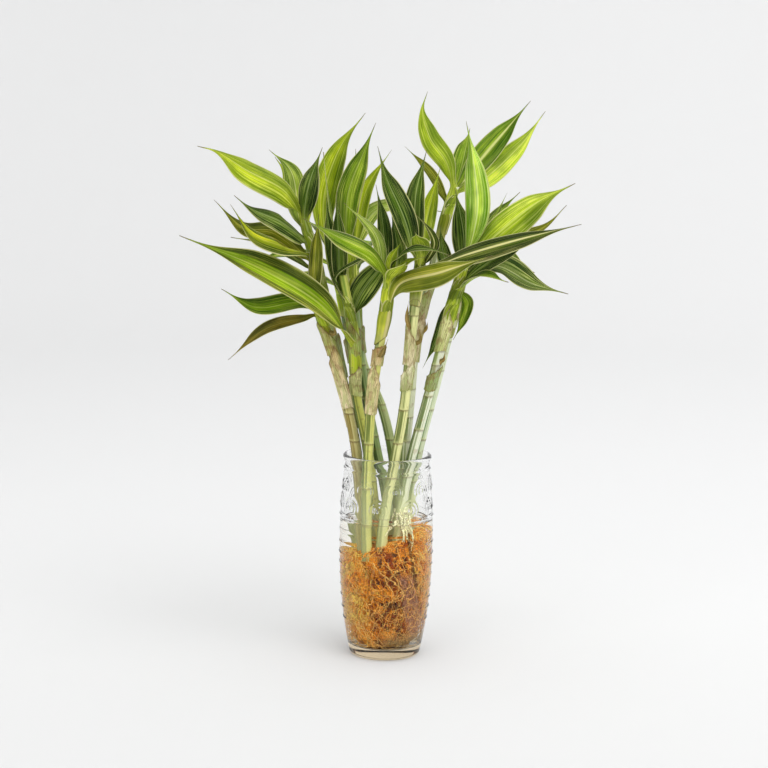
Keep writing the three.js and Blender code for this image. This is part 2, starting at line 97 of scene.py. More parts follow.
RIB_FADE = (0.25, 2, 1.3)
RELIEF_DEPTH = 0.8
RELIEF_LINE = 0.85
RELIEF_START = (121, 123)
RELIEF_END = (165, 166)
RELIEF_EDGES = (123.5, 164)
RELIEF_MOST = 1.2
ARC_ROWS = (133, 149)
ARC_COLUMNS = 9
ARC_RADII = (7.6, 4.6)
ARC_FEET = (-4, -1)
BOSS_RADIUS = 1.7
BOSS_HEIGHT = 1.3
VASE_SIDES = 380
VASE_ROWS = 200
INSIDE_ROWS = 20
ROUND_STEPS = 16
CORNER_STEPS = 7

# Water
WATER_LEVEL = 120
WATER_GRIP = 0.12
WATER_SIDES = 96
WATER_ROWS = 60
MENISCUS_RISE = 1.0
MENISCUS_WIDTH = 2.2
MENISCUS_STEPS = 7
MENISCUS_CURVE = 0.6

# Root mass
ROOT_BOTTOM = 9.8
ROOT_TOP = 97
ROOT_TILT = 0.36
ROOT_TILT_START = 40
ROOT_FALL = 12
ROOT_FALL_RANGE = (24, 40)
ROOT_INSET = 2.4
CORE_INSET = 3.4
CORE_SIDES = 120
CORE_WALL_ROWS = 74
CORE_CROWN_ROWS = 15
CORE_CROWN = 5
CORE_WARMTH = 0.1
CORE_FOOT = 0.8
CORE_FOOT_RANGE = (0, 0.08)
LUMPS = ((0.16, 1), (0.45, 0.5))
LUMP_DEPTH = 0.05

# Single roots: ranges that they are drawn from, in millimetres and radians. A root that wanders has a number
# of bends, a sway at each, and a number of rounds that smooth it. A fine root and a rootlet have how far they
# reach down and a radius, and the dome that the tufts lie on has its rise and its reach.
ROOT_SEED = 11
WANDER_STEPS = 4
THICK_SIDES = 6
THIN_SIDES = 4
WALL_SWEEP = 0.8
WALL_DEPTHS = (0.9, 1.0)
WALL_FOOT = 45
WALL_RING = 30
WALL_DROP = 30
WALL_STEPS = 30
WALL_SNAKE = 0.25
WALL_SNAKE_WAVES = (4, 9)
WALL_RADII = (0.32, 0.85)
WALL_TAPER = 0.6
WALL_WARMTHS = (-0.1, 0.7)
WALL_DARK_SHARE = 0.85
CROWN_LIFTS = (-2, 6)
CROWN_SWEEP = 0.9
CROWN_FEET = (20, 70)
CROWN_DEPTHS = (0.85, 1.0)
CROWN_ARCH = 6
CROWN_OVER = 5
CROWN_RADII = (0.5, 1.1)
CROWN_TAPER = 0.35
CROWN_WANDER = (8, 3.2, 6)
CROWN_DARK_SHARE = 0.7
STRAY_RING = 36
STRAY_LIFTS = (2, 1)
STRAY_SWEEP = 0.7
STRAY_FALLS = (-0.15, 1)
STRAY_SHARES = (0.6, 1.1)
STRAY_WANDER = (6, 2.4, 4)
FINE_ROOT = (40, 0.26)
ROOTLET = (10, 0.16)
ROOTLET_PALENESS = (0.1, 0.5, 0.9)
TUFT_REACH = 33
TUFT_SWEEP = 1.2
TUFT_LENGTH = 9
TUFT_DOME = (5.2, 35)
TUFT_ARCH = 1.6
TUFT_LIFTS = (-0.8, 0.8)
TUFT_RADII = (0.18, 0.5)
TUFT_WANDER = (5, 1.8, 3)
TUFT_CLEARANCE = 0.4
TUFT_PALENESS = (0.1, 0.4, 0.8)
SPROUT_STARTS = ((6, 20), (-26, -15), (112, 134))
SPROUT_RUNS = ((-8, 9), (-8, 0), (-10, -24))
SPROUT_RADII = (1.3, 0.35)
SPROUT_WANDER = (5, 1.6, 4)
SPROUT_CLEARANCE = 1.2
SPROUT_SIDES = 8

# Canes and sheaths. A scar and a band have their height over the ring and a half width; a crease has its
# depth, the creases round the sheath and their slant.
CANE_RADIUS = 4.5
TIP_TAPER = 0.85
CANE_STEP = 1.6
CANE_SIDES = 26
RING_SWELL = 0.22
RING_SPREAD = 0.9
RING_STEP = 0.8
SCAR = (-0.3, 0.55)
BAND = (1.2, 0.9)
STALK_RANGE = (190, 290)
TUBE_ACROSS = (0.31, 0.17, 0.93)
SHEATH_SIDES = 40
SHEATH_ROWS = 12
SHEATH_GAP = 0.25
SHEATH_THICKNESS = 0.35
SHEATH_FLARE = 0.9
SHEATH_RAGGED = 0.8
SHEATH_SLANT = 0.75
SHEATH_FOOT_WAVE = 0.7
SHEATH_FOOT_RAGGED = 0.4
SHEATH_TIGHT_BACK = 0.6
SHEATH_CREASE = (0.12, 5, 9)

# Leaves. Ranges are shares of the length, or millimetres along the rolled foot. Teeth and slant are waves of
# its lower edge with a depth and a rate, and the teeth have a shift. Folds and the wrap are in degrees.
CLASP_RISE = 13
BLADE_STATIONS = 44
BLADE_COLUMNS = 13
BLADE_BASE_THICKNESS = 1.5
BLADE_THICKNESS = 0.7
BLADE_THINS_BY = 0.25
BLADE_EDGE_THINNING = 0.6
BLADE_LEAN = 0.98
BLADE_SLIMNESS = 1.3
BLADE_CUP = 1.25
FOOT_SLIMNESS = 0.5
FOOT_SLIM_RANGE = (0.15, 0.45)
FOOT_SHARE = 0.36
TAIL_RANGE = (0.68, 0.95)
TAIL_NARROWING = 0.72
TAIL_SHARE = 0.045
TAIL_TIP = 0.7
TAIL_TIP_RANGE = (0.93, 1)
WRAP_GAP = 0.5
WRAP_LAYER = 0.17
WRAP_LEAST_HUG = 0.4
WRAP_ANGLE = 186
WRAP_OPENING = 0.55
WRAP_OPENING_RANGE = (0, 18)
WRAP_RANGE = (4, 24)
WRAP_SPIRAL = 0.12
SLEEVE_REACH = 15
SLEEVE_ROWS = 7
SLEEVE_THICKNESS = 0.3
SLEEVE_TEETH = (1.4, 6, 7)
SLEEVE_SLANT = (6, 2)
FOOT_FOLD = 60
OPEN_FOLD = 17
OPENS_BY = 0.28
TURN_RANGE = (0.02, 0.28)
FOOT_LIFT = 0.3
LYING_RISE = 40
MARGIN_WAVE = 0.07
MARGIN_WAVE_RANGE = (0.2, 0.4)
SWAY_PHASES = (0, 6)
SWAY_WAVES = (9, 14)
SWAY_SLANT = 1.4
SPLINE_STEPS = 60
LEAF_SEEDS = (0, 50)

# Leaf colours, as red, green and blue of 255: the outer bands, the middle band and the fine lines.
LEAF_TONES = {
    "lime": ((132, 156, 24), (164, 182, 32), (216, 222, 118)),
    "fresh": ((134, 162, 34), (168, 190, 48), (220, 226, 126)),
    "bright": ((128, 176, 34), (184, 212, 84), (236, 244, 178)),
    "lemon": ((176, 198, 66), (202, 218, 100), (238, 240, 160)),
    "green": ((78, 112, 16), (124, 158, 24), (204, 214, 112)),
    "olive": ((80, 92, 16), (126, 134, 30), (200, 196, 100)),
    "duo": ((84, 124, 22), (126, 156, 42), (232, 234, 156)),
    "dark": ((36, 60, 11), (70, 100, 24), (180, 196, 122)),
    "yellow": ((58, 90, 10), (172, 182, 24), (210, 208, 92)),
    "banded": ((84, 98, 20), (142, 174, 24), (216, 218, 120)),
    "grey": ((60, 84, 30), (94, 120, 52), (208, 214, 156)),
    "pale": ((112, 140, 50), (158, 180, 84), (232, 234, 168)),
    "straw": ((116, 128, 28), (154, 158, 66), (228, 220, 146)),
    "cream": ((40, 62, 10), (70, 94, 20), (236, 230, 156)),
    "brown": ((92, 82, 28), (130, 118, 44), (192, 176, 98)),
    "dry": ((132, 108, 60), (168, 144, 88), (198, 178, 124)),
}
STRONG_RIBS = ("cream", "duo", "straw")

# The route of each cane up its middle.
ROUTES = {
    "cane_far_left": [
        (-15, -13, 74), (-21, -12, 120), (-26.2, -10, 174), (-34, -10, 215), (-46, -11, 258),
        (-55, -13, 286), (-66, -16, 318),
    ],
    "cane_left": [
        (-15, 13, 76), (-23, 12, 118), (-26.2, 8.8, 174), (-35, 9, 217), (-43, 8, 255), (-52, 4, 292),
        (-63, -4, 338), (-73, -14, 378),
    ],
    "cane_mid_left": [
        (-3, 13, 78), (-11, 10, 132), (-16.5, 7, 174), (-27.5, -1, 228), (-29, -5, 268), (-34, -8, 300),
        (-40, -9, 330),
    ],
    "cane_back_left": [
        (-6, 25, 76), (-12, 24, 130), (-17.5, 22, 174), (-31, 27, 253), (-44, 40, 318), (-51, 42, 345),
    ],
    "cane_back": [
        (4, 4, 80), (0, 9, 133), (-9, 15.5, 174), (-15, 16, 202), (-21, 17, 232), (-28, 20, 280),
        (-34, 24, 340),
    ],
    "cane_crossing": [
        (10, 20, 77), (9, 21, 130), (4, 22, 174), (-6, 28, 213), (-22, 36, 248), (-27, 44, 276),
        (-30, 52, 306), (-33, 58, 340),
    ],
    "cane_centre": [
        (-15, -23, 87), (-17, -24, 140), (-16.5, -21.8, 174), (-14, -24, 225), (-8, -29, 272),
        (-4, -32, 297), (-1, -34, 325),
    ],
    "cane_front": [
        (-4, -24, 97), (-1, -25, 131), (6, -26, 174), (13, -30, 219), (17.5, -35, 269), (22, -38, 320),
        (25, -37, 345),
    ],
    "cane_tall": [
        (14, -4, 104), (15, -7, 174), (18.5, -5, 222), (23, 2, 275), (34, 9, 325), (46, 13, 376),
        (54, 14, 404),
    ],
    "cane_right": [
        (6, -12, 81), (13, -18, 137), (20, -18, 174), (34, -17, 230), (47, -21, 285), (61, -24, 340),
    ],
    "cane_far_right": [
        (13, 10, 65), (21, 10, 133), (26.3, 8, 174), (42, 11, 239), (54, 15, 291), (64, 19, 340),
    ],
}

# The leaves of each cane: the height that a leaf springs from, the points that its midrib passes, its tip,
# its width, the way that its broad face looks (degrees round from the front, and up) and its tone. The dry
# ones are tips that stand off the sheaths; they and the last three of cane_centre add to the frame's leaves.
LEAVES = {
    "cane_far_left": [
        (287, [(-75, -28, 308), (-111, -42, 305)], (-139, -50, 321), 22, (0, 45), "green"),
        (281, [(-72, -14, 293), (-104, -16, 284)], (-136, -16, 257), 12, (-10, 35), "brown"),
        (298, [(-63, -21, 344)], (-60, -24, 382), 14, (-20, 10), "olive"),
        (300, [(-92, 26, 326)], (-130, 48, 332), 22, (160, 60), "green"),
        (268, [(-46, -22, 282)], (-47, -26, 291), 5, (0, 10), "dry"),
    ],
    "cane_left": [
        (367, [(-89, -38, 402), (-119, -52, 419), (-143, -56, 434)], (-158, -58, 438), 27, (0, 35), "lime"),
        (360, [(-84, -10, 416)], (-103, -6, 434), 19, (0, 20), "pale"),
        (356, [(-82, 6, 403)], (-99, 14, 427), 24, (10, 15), "lime"),
        (365, [(-68, -40, 407)], (-57, -46, 438), 19, (-15, 5), "dark"),
        (342, [(-91, -38, 376), (-115, -46, 387)], (-129, -48, 398), 21, (0, 40), "dark"),
        (331, [(-90, -50, 357), (-113, -64, 368)], (-130, -72, 392), 18, (-15, 40), "yellow"),
        (326, [(-97, -24, 367), (-122, -28, 370)], (-147, -30, 393), 18, (0, 30), "olive"),
        (318, [(-83, -10, 344), (-112, -6, 356)], (-135, -4, 360), 11, (0, 60), "grey"),
    ],
    "cane_mid_left": [
        (255, [(-56, -38, 306), (-103, -48, 336)], (-173, -56, 365), 33, (0, 45), "banded"),
        (293, [(-45, -14, 328), (-21, -15, 345)], (13, -14, 370), 12, (0, 80), "dark"),
        (300, [(-44, -6, 359)], (-46, -8, 400), 15, (15, 0), "dark"),
        (304, [(-52, 8, 379)], (-58, 12, 432), 9, (80, 0), "pale"),
        (283, [(-25, 0, 312)], (4, 8, 350), 24, (0, 20), "dark"),
        (297, [(-51, -5, 361)], (-55, -5, 397), 15, (20, 0), "dark"),
    ],
    "cane_back_left": [
        (334, [(-58, 36, 390), (-45, 30, 434)], (-23, 28, 465), 24, (0, 5), "lime"),
        (318, [(-84, 60, 340)], (-122, 72, 333), 22, (150, 60), "green"),
        (326, [(-66, 80, 362)], (-84, 118, 366), 23, (165, 60), "dark"),
        (300, [(-70, 66, 318)], (-98, 92, 290), 19, (140, 50), "green"),
    ],
    "cane_back": [
        (334, [(-37, 20, 395), (-24, 18, 432)], (-14, 18, 457), 23, (-10, 0), "green"),
        (336, [(-21, 34, 400)], (0, 38, 434), 12, (10, 20), "lime"),
        (330, [(-14, 48, 379), (17, 58, 384)], (47, 62, 379), 19, (0, 60), "pale"),
        (318, [(8, 62, 350)], (44, 92, 352), 22, (190, 55), "dark"),
    ],
    "cane_crossing": [
        (330, [(-30, 76, 385)], (-32, 92, 432), 22, (180, 5), "green"),
        (322, [(-52, 92, 362)], (-70, 134, 352), 24, (170, 60), "dark"),
        (310, [(-18, 98, 349)], (-8, 138, 338), 23, (185, 60), "green"),
        (297, [(-36, 92, 315)], (-42, 122, 284), 20, (180, 40), "dark"),
    ],
    "cane_centre": [
        (317, [(-15, -54, 352), (-45, -70, 368)], (-71, -78, 382), 20, (0, 40), "green"),
        (296, [(8, -48, 327), (41, -75, 340)], (82, -84, 355), 24, (0, 28), "straw"),
        (318, [(-12, -38, 366)], (-39, -44, 393), 11, (0, 40), "pale"),
        (314, [(6, -64, 338)], (13, -98, 350), 17, (0, 65), "lime"),
        (320, [(-7, -24, 375)], (-13, -22, 407), 15, (30, 0), "dark"),
        (306, [(6, -24, 348)], (0, -20, 386), 17, (0, 10), "dark"),
        (250, [(-6, -36, 266)], (-1, -40, 280), 6, (20, 10), "dry"),
        (319, [(1, -41, 340), (10, -62, 352), (21, -78, 359), (36, -80, 358)], (50, -78, 353),
         11, (0, 45), "dark"),
        (315, [(3, -45, 337), (13, -60, 347)], (29, -70, 352), 10, (0, 40), "lime"),
        (321, [(1, -41, 347)], (9, -43, 362), 10, (0, 20), "lime"),
    ],
    "cane_front": [
        (331, [(12, -36, 377), (-5, -32, 415)], (-12, -30, 439), 21, (15, 10), "dark"),
        (336, [(20, -26, 395)], (29, -18, 437), 18, (-10, 0), "dark"),
        (332, [(24, -64, 360)], (19, -98, 374), 17, (0, 60), "lime"),
        (328, [(36, -46, 360), (29, -50, 375)], (20, -52, 385), 9, (0, 50), "cream"),
        (338, [(31, -14, 382)], (41, -8, 423), 15, (0, 0), "lime"),
        (322, [(51, -50, 348), (97, -70, 365)], (153, -82, 381), 20, (0, 35), "cream"),
        (276, [(14.5, -44, 298)], (15.5, -47, 314), 4, (0, 10), "dry"),
        (262, [(26, -42, 280)], (24, -46, 292), 4, (20, 10), "dry"),
    ],
    "cane_tall": [
        (392, [(46, 4, 425), (32, 0, 445), (25, 0, 468)], (29, 2, 484), 19, (0, 0), "fresh"),
        (389, [(74, 30, 424), (99, 36, 454)], (118, 38, 477), 22, (0, 20), "duo"),
        (383, [(80, 46, 409), (111, 58, 438)], (133, 64, 468), 22, (0, 25), "lemon"),
        (376, [(35, 26, 413)], (11, 34, 437), 9, (0, 20), "olive"),
        (390, [(62, 42, 428)], (68, 72, 452), 20, (170, 20), "green"),
        (268, [(31, 0, 284)], (33, -4, 292), 4, (0, 10), "dry"),
    ],
    "cane_right": [
        (335, [(71, -40, 386), (67, -46, 427)], (60, -46, 461), 22, (-5, 0), "bright"),
        (330, [(86, -38, 367), (119, -46, 395)], (150, -50, 412), 31, (0, 30), "fresh"),
        (322, [(90, -8, 339), (122, 2, 323)], (152, 6, 315), 27, (0, 45), "grey"),
        (314, [(80, -28, 343), (100, -24, 353)], (121, -20, 365), 17, (0, 40), "dark"),
        (306, [(74, -52, 335)], (95, -88, 334), 16, (0, 60), "green"),
        (337, [(82, -26, 373)], (96, -26, 402), 9, (0, 20), "pale"),
        (326, [(61, -20, 366)], (53, -18, 405), 20, (-20, 0), "dark"),
        (302, [(66, -18, 310), (62, -17, 293)], (54, -16, 277), 12, (-30, 10), "green"),
        (318, [(46, -10, 344)], (41, -8, 374), 14, (10, 10), "dark"),
        (246, [(46, -27, 262)], (47, -30, 270), 4, (0, 10), "dry"),
    ],
    "cane_far_right": [
        (318, [(97, 16, 355), (131, 14, 371)], (149, 12, 390), 15, (0, 50), "olive"),
        (294, [(48, 4, 298), (41, 2, 276)], (29, 0, 250), 11, (-20, 0), "dark"),
        (326, [(69, 24, 362)], (78, 28, 386), 16, (0, 0), "dark"),
        (308, [(92, 46, 342)], (128, 76, 326), 22, (200, 60), "green"),
        (324, [(72, 62, 362)], (82, 98, 376), 22, (185, 50), "dark"),
        (330, [(88, 42, 376)], (112, 56, 398), 18, (190, 30), "green"),
    ],
}

# Node rings of each cane, and its stalk colours low down, high up and on its lit side, where a pale painted
# highlight runs.
STALKS = {
    "cane_far_left": ((188, 212, 290, 303), (142, 120, 44), (150, 152, 66), (196, 186, 120)),
    "cane_left": ((190, 214, 236, 300, 326, 346, 362), (96, 118, 48), (150, 170, 52), (192, 200, 132)),
    "cane_mid_left": ((150, 186, 229, 243, 249, 270, 286), (110, 132, 44), (140, 170, 48), (226, 228, 112)),
    "cane_back_left": ((150, 184, 214, 244, 300, 318), (62, 84, 40), (78, 102, 44), (140, 160, 90)),
    "cane_back": ((152, 188, 220, 250, 300, 318), (74, 98, 44), (76, 104, 46), (150, 172, 104)),
    "cane_crossing": ((150, 184, 214, 244, 290, 304), (110, 130, 56), (92, 114, 48), (188, 200, 136)),
    "cane_centre": ((118, 150, 188, 217, 272, 290, 304), (120, 132, 48), (104, 132, 52), (224, 224, 124)),
    "cane_front": ((124, 160, 190, 219, 239, 275, 300, 316), (120, 130, 58), (128, 142, 66), (232, 232, 160)),
    "cane_tall": (
        (130, 165, 188, 209, 233, 305, 335, 360, 378), (132, 150, 78), (138, 146, 78), (234, 238, 204),
    ),
    "cane_right": ((120, 160, 200, 229, 256, 268, 300, 316), (112, 132, 66), (150, 168, 84), (236, 240, 212)),
    "cane_far_right": (
        (110, 150, 187, 213, 247, 272, 300, 316), (98, 140, 70), (140, 164, 94), (220, 230, 192),
    ),
}

# Papery sheaths: from, to, which way their tip stands (degrees from the front), how far the rest of the
# upper edge lies below it, and their colours low down and at the tip.
SHEATHS = {
    "cane_far_left": [
        (217, 272, 30, 26, (236, 218, 176), (196, 172, 104)),
        (262, 292, -50, 22, (176, 160, 84), (146, 156, 56)),
    ],
    "cane_left": [
        (196, 240, 70, 30, (222, 200, 146), (196, 184, 110)),
        (240, 280, 60, 20, (168, 186, 140), (120, 146, 70)),
        (296, 338, 80, 20, (176, 190, 96), (150, 172, 56)),
    ],
    "cane_mid_left": [
        (226, 252, 40, 14, (216, 220, 140), (226, 226, 150)),
        (250, 296, -30, 30, (170, 196, 60), (140, 170, 48)),
    ],
    "cane_back_left": [
        (250, 280, 30, 18, (120, 126, 70), (90, 104, 50)),
    ],
    "cane_back": [
        (262, 292, -60, 18, (104, 120, 62), (80, 104, 50)),
    ],
    "cane_crossing": [
        (258, 282, 60, 14, (110, 124, 62), (80, 100, 52)),
    ],
    "cane_centre": [
        (214, 262, -25, 36, (222, 204, 150), (232, 212, 150)),
        (256, 274, 40, 6, (214, 196, 132), (188, 140, 80)),
    ],
    "cane_front": [
        (236, 262, 30, 20, (150, 158, 86), (238, 234, 190)),
        (258, 296, -60, 26, (218, 206, 162), (188, 180, 122)),
    ],
    "cane_tall": [
        (256, 300, 20, 30, (206, 196, 140), (222, 204, 164)),
        (292, 326, 60, 22, (184, 184, 124), (160, 168, 96)),
    ],
    "cane_right": [
        (268, 306, -20, 30, (196, 204, 122), (222, 222, 150)),
        (234, 256, 60, 12, (122, 152, 80), (132, 160, 84)),
    ],
    "cane_far_right": [
        (284, 308, 30, 14, (200, 206, 150), (190, 196, 130)),
    ],
}


def linear(rgb):
    """A screen colour of 255 as linear light, with alpha: the standard sRGB curve."""
    shares = [value / 255 for value in rgb]
    light = [s / 12.92 if s <= 0.04045 else ((s + 0.055) / 1.055) ** 2.4 for s in shares]
    return (*light, 1.0)


def smooth(value, low, high):
    """Nothing below low, one above high, eased between."""
    share = np.clip((np.asarray(value, float) - low) / (high - low), 0, 1)
    return share * share * (3 - 2 * share)


def between(first, second, share):
    """The first where the share is nothing, the second where it is one."""
    return np.asarray(first) * (1 - share) + np.asarray(second) * share


def bump(distance, half_width):
    """A rounded ridge: one at no distance, and next to nothing at twice its half width."""
    return np.exp(-((np.asarray(distance) / half_width) ** 2))


def unit(vectors):
    return vectors / np.maximum(np.linalg.norm(vectors, axis=-1, keepdims=True), TINY)


def turns(sides):
    """Angles spread evenly round a full turn."""
    return np.linspace(0, 2 * math.pi, sides, endpoint=False)


def upright(turn, reach, height):
    """Places round the upright axis, by their turn, their reach from it and their height."""
    return np.stack(np.broadcast_arrays(reach * np.cos(turn), reach * np.sin(turn), height), -1)


def arc(across, up, radius, start, end, steps):
    """A round stretch of a profile between two angles, in half turns."""
    angles = np.linspace(start, end, steps) * math.pi
    return np.column_stack((across + radius * np.cos(angles), up + radius * np.sin(angles)))


def spline(points):
    """A centripetal Catmull-Rom line through points: close places, and how far along it each is."""
    points = [np.array(point, float) for point in points]
    points = [2 * points[0] - points[1], *points, 2 * points[-1] - points[-2]]
    t = np.linspace(0, 1, SPLINE_STEPS, endpoint=False)[:, None]
    places = []
    for before, low, high, after in zip(points, points[1:], points[2:], points[3:]):
        steps = (low - before, high - low, after - high)
        first, middle, last = (max(np.linalg.norm(step) ** 0.5, TINY) for step in steps)
        leave = middle * (steps[0] / first - (high - before) / (first + middle) + steps[1] / middle)
        arrive = middle * (steps[1] / middle - (after - low) / (middle + last) + steps[2] / last)
        places.append(
            low + leave * t + (3 * (high - low) - 2 * leave - arrive) * t**2
            + (2 * (low - high) + leave + arrive) * t**3
        )
    line = np.concatenate([*places, points[-2][None]])
    return line, np.concatenate([[0], np.cumsum(np.linalg.norm(np.diff(line, axis=0), axis=1))])


# Meshes


class Shape:
    """Rings of points joined into one mesh, with named numbers and colours at each point."""

    def __init__(self):
        self.points = []
        self.faces = []
        self.values = {}

    def add(self, rings, foot=False, top=False, **values):
        """Joins each ring to the next, and closes the first or the last one where asked."""
        rings = np.asarray(rings, float)
        rows, columns = rings.shape[:2]
        first = sum(len(part) for part in self.points)
        last = first + (rows - 1) * columns
        self.points.append(rings.reshape(-1, 3))
        for low in range(first, last, columns):
            for at in range(columns):
                beside = (at + 1) % columns
                self.faces.append((low + at, low + beside, low + columns + beside, low + columns + at))
        if foot:
            self.faces.append(tuple(reversed(range(first, first + columns))))
        if top:
            self.faces.append(tuple(range(last, last + columns)))
        for name, value in values.items():
            size = (rows, columns, 4) if name.endswith("tone") else (rows, columns)
            spread = np.broadcast_to(value, size).reshape(-1, *size[2:])
            self.values.setdefault(name, []).append(spread)


def placed(name, data):
    """A new object in the scene."""
    made = bpy.data.objects.new(name, data)
    bpy.context.scene.collection.objects.link(made)
    return made


def mesh_object(name, shape, material):
    mesh = bpy.data.meshes.new(name)
    mesh.from_pydata((np.concatenate(shape.points) * MM).tolist(), [], shape.faces)
    for key, parts in shape.values.items():
        kind, field = ("FLOAT_COLOR", "color") if key.endswith("tone") else ("FLOAT", "value")
        mesh.attributes.new(key, kind, "POINT").data.foreach_set(field, np.concatenate(parts).ravel())
    mesh.shade_smooth()
    mesh.materials.append(material)
    mesh.update()
    return placed(name, mesh)


def build_piece(name, shape, material, node):
    """A piece at the origin that rides on the one body and stands in for a node."""
    piece = mesh_object(name, shape, material)
    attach(piece, "root")
    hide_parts(node)


def tube(shape, centres, radii, sides, **values):
    """A round tube along a line of centres, closed at both ends."""
    along = unit(np.gradient(centres, axis=0))
    side = unit(np.cross(along, TUBE_ACROSS))
    over = np.cross(along, side)
    turn = turns(sides)[None, :, None]
    ring = np.cos(turn) * side[:, None] + np.sin(turn) * over[:, None]
    shape.add(centres[:, None] + ring * radii[:, None, None], foot=True, top=True, **values)


def turned(shape, profile, sides, outline=None):
    """A profile turned round the upright axis, with an outline that moves its points out or in."""
    reach, height = (np.repeat(column[:, None], sides, 1) for column in np.transpose(profile))
    turn = turns(sides)
    moved = outline(turn, height) if outline else 0
    rings = upright(turn, reach + moved, height)
    rings[reach[:, 0] == 0, :, :2] = 0
    shape.add(rings)


# Vase and water


def body_radius(height):
    """The vase's outer radius without its ribs: a barrel, widest at the belly."""
    rise = np.clip((height - BELLY_HEIGHT) / (SHOULDER_HEIGHT - BELLY_HEIGHT), 0, None)
    fall = np.clip((BELLY_HEIGHT - height) / (BELLY_HEIGHT - HEEL_HEIGHT), 0, None)
    return BELLY_RADIUS - SHOULDER_DROP * rise**2 - HEEL_DROP * fall**HEEL_CURVE


def cavity_profile(clearance, top, steps):
    """The inside of the vase from the middle of its floor up to a height, drawn in by a clearance."""
    floor = FLOOR_HEIGHT + clearance
    corner_top = floor + FLOOR_CORNER
    wall = body_radius(corner_top) - WALL - clearance
    corner = arc(wall - FLOOR_CORNER, corner_top, FLOOR_CORNER, -0.5, 0, CORNER_STEPS)
    heights = np.linspace(corner_top, top, steps)[1:]
    side = np.column_stack((body_radius(heights) - WALL - clearance, heights))
    return np.concatenate([[[0, floor], [wall * 0.5, floor]], corner, side])


def relief(turn, height):
    """How far the pressed pattern stands out: staggered rounds of double arcs and bosses between edges."""
    raised = sum(bump(height - edge, RELIEF_LINE) for edge in RELIEF_EDGES)
    cell = 2 * math.pi / ARC_COLUMNS
    for row, centre in enumerate(ARC_ROWS):
        across = ((turn / cell + 0.5 * row) % 1 - 0.5) * cell * BELLY_RADIUS
        up = height - centre
        distance = np.hypot(across, up)
        for radius in ARC_RADII:
            raised = raised + smooth(up, *ARC_FEET) * bump(distance - radius, RELIEF_LINE)
        raised = raised + BOSS_HEIGHT * bump(distance, BOSS_RADIUS)
    inside = smooth(height, *RELIEF_START) * (1 - smooth(height, *RELIEF_END))
    return RELIEF_DEPTH * np.clip(raised, 0, RELIEF_MOST) * inside


def ribs(turn, height):
    """The rounds of ribs, each a little uneven round the vase, as pressed glass is."""
    raised = 0
    for rib in range(RIB_COUNT):
        sway, fade = (
            most * np.sin(waves * turn + shift * rib) for most, waves, shift in (RIB_SWAY, RIB_FADE)
        )
        crest = RIB_FIRST + rib * RIB_PITCH + sway
        raised = raised + (1 - RIB_FADE[0] + fade) * bump(height - crest, RIB_HALF_WIDTH)
    return RIB_DEPTH * raised


def vase_piece():
    heights = np.linspace(HEEL_HEIGHT, NECK_HEIGHT, VASE_ROWS)
    barrel = np.column_stack((body_radius(heights), heights))
    bead = arc(BEAD_RING_RADIUS, BEAD_HEIGHT, BEAD_RADIUS, *BEAD_TURNS, ROUND_STEPS)
    inside = cavity_profile(0, NECK_HEIGHT, INSIDE_ROWS)[::-1]
    underside = [[0, 0], [FOOT_RADIUS, 0]]
    profile = np.concatenate([underside, FOOT_ROUNDS, barrel, bead, inside])

    def outline(turn, height):
        moved = ribs(turn, height) + relief(turn, height)
        moved[-len(inside) - len(bead):] = 0
        moved[:len(underside)] = 0
        return moved

    shape = Shape()
    turned(shape, profile, VASE_SIDES, outline)
    build_piece("vase_glass", shape, glass_material(), "vase")


def water_piece():
    """The water up to its level, with an edge that climbs the glass a little."""
    wall = cavity_profile(-WATER_GRIP, WATER_LEVEL, WATER_ROWS)
    edge = wall[-1, 0]
    shares = np.linspace(0, 1, MENISCUS_STEPS)[1:]
    level = WATER_LEVEL - MENISCUS_RISE
    fallen = MENISCUS_RISE * shares**MENISCUS_CURVE
    rise = np.column_stack((edge - MENISCUS_WIDTH * shares, WATER_LEVEL - fallen))
    shape = Shape()
    turned(shape, np.concatenate([wall, rise, [[edge * 0.5, level], [0, level]]]), WATER_SIDES)
    build_piece("water_body", shape, water_material(), "water")


# Roots


def root_radius(height):
    return body_radius(height) - WALL - ROOT_INSET


def root_top(x):
    """The height that the root mass reaches: it rises to the right and drops again at the wall."""
    return ROOT_TOP + ROOT_TILT * x - ROOT_FALL * smooth(x, *ROOT_FALL_RANGE)


def root_core(shape):
    """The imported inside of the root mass, lumpy and drawn in behind the outer roots."""
    rows = np.arange(CORE_WALL_ROWS + CORE_CROWN_ROWS + 1)
    climb = np.minimum(rows / CORE_WALL_ROWS, 1)
    crown = np.maximum(rows - CORE_WALL_ROWS, 0) / CORE_CROWN_ROWS
    heights = ROOT_BOTTOM + (ROOT_TOP - ROOT_BOTTOM) * climb
    reach = (root_radius(heights) - CORE_INSET) * between(CORE_FOOT, 1, smooth(climb, *CORE_FOOT_RANGE))
    reach = reach * np.sqrt(np.maximum(1 - crown**2, 0))
    heights = heights + CORE_CROWN * np.sin(crown * math.pi / 2)
    rings = upright(turns(CORE_SIDES), reach[:, None], heights[:, None])
    tilt = smooth(rings[..., 2], ROOT_TILT_START, ROOT_TOP)
    rings[..., 2] += tilt * (root_top(rings[..., 0]) - ROOT_TOP)
    for place in rings.reshape(-1, 3):
        lump = sum(weight * noise.noise(Vector(place) * scale) for scale, weight in LUMPS)
        place[:2] *= 1 - LUMP_DEPTH * (1 + lump)
    shape.add(rings, foot=True, warm=CORE_WARMTH, pale=0.0)


def settled(points, radius):
    """Root points kept inside the glass and over the bottom of the mass."""
    points = points.copy()
    points[:, 2] = np.maximum(points[:, 2], ROOT_BOTTOM + radius)
    reach = np.hypot(points[:, 0], points[:, 1])
    limit = root_radius(points[:, 2]) - radius
    points[:, :2] *= np.minimum(1, limit / np.maximum(reach, TINY))[:, None]
    return points


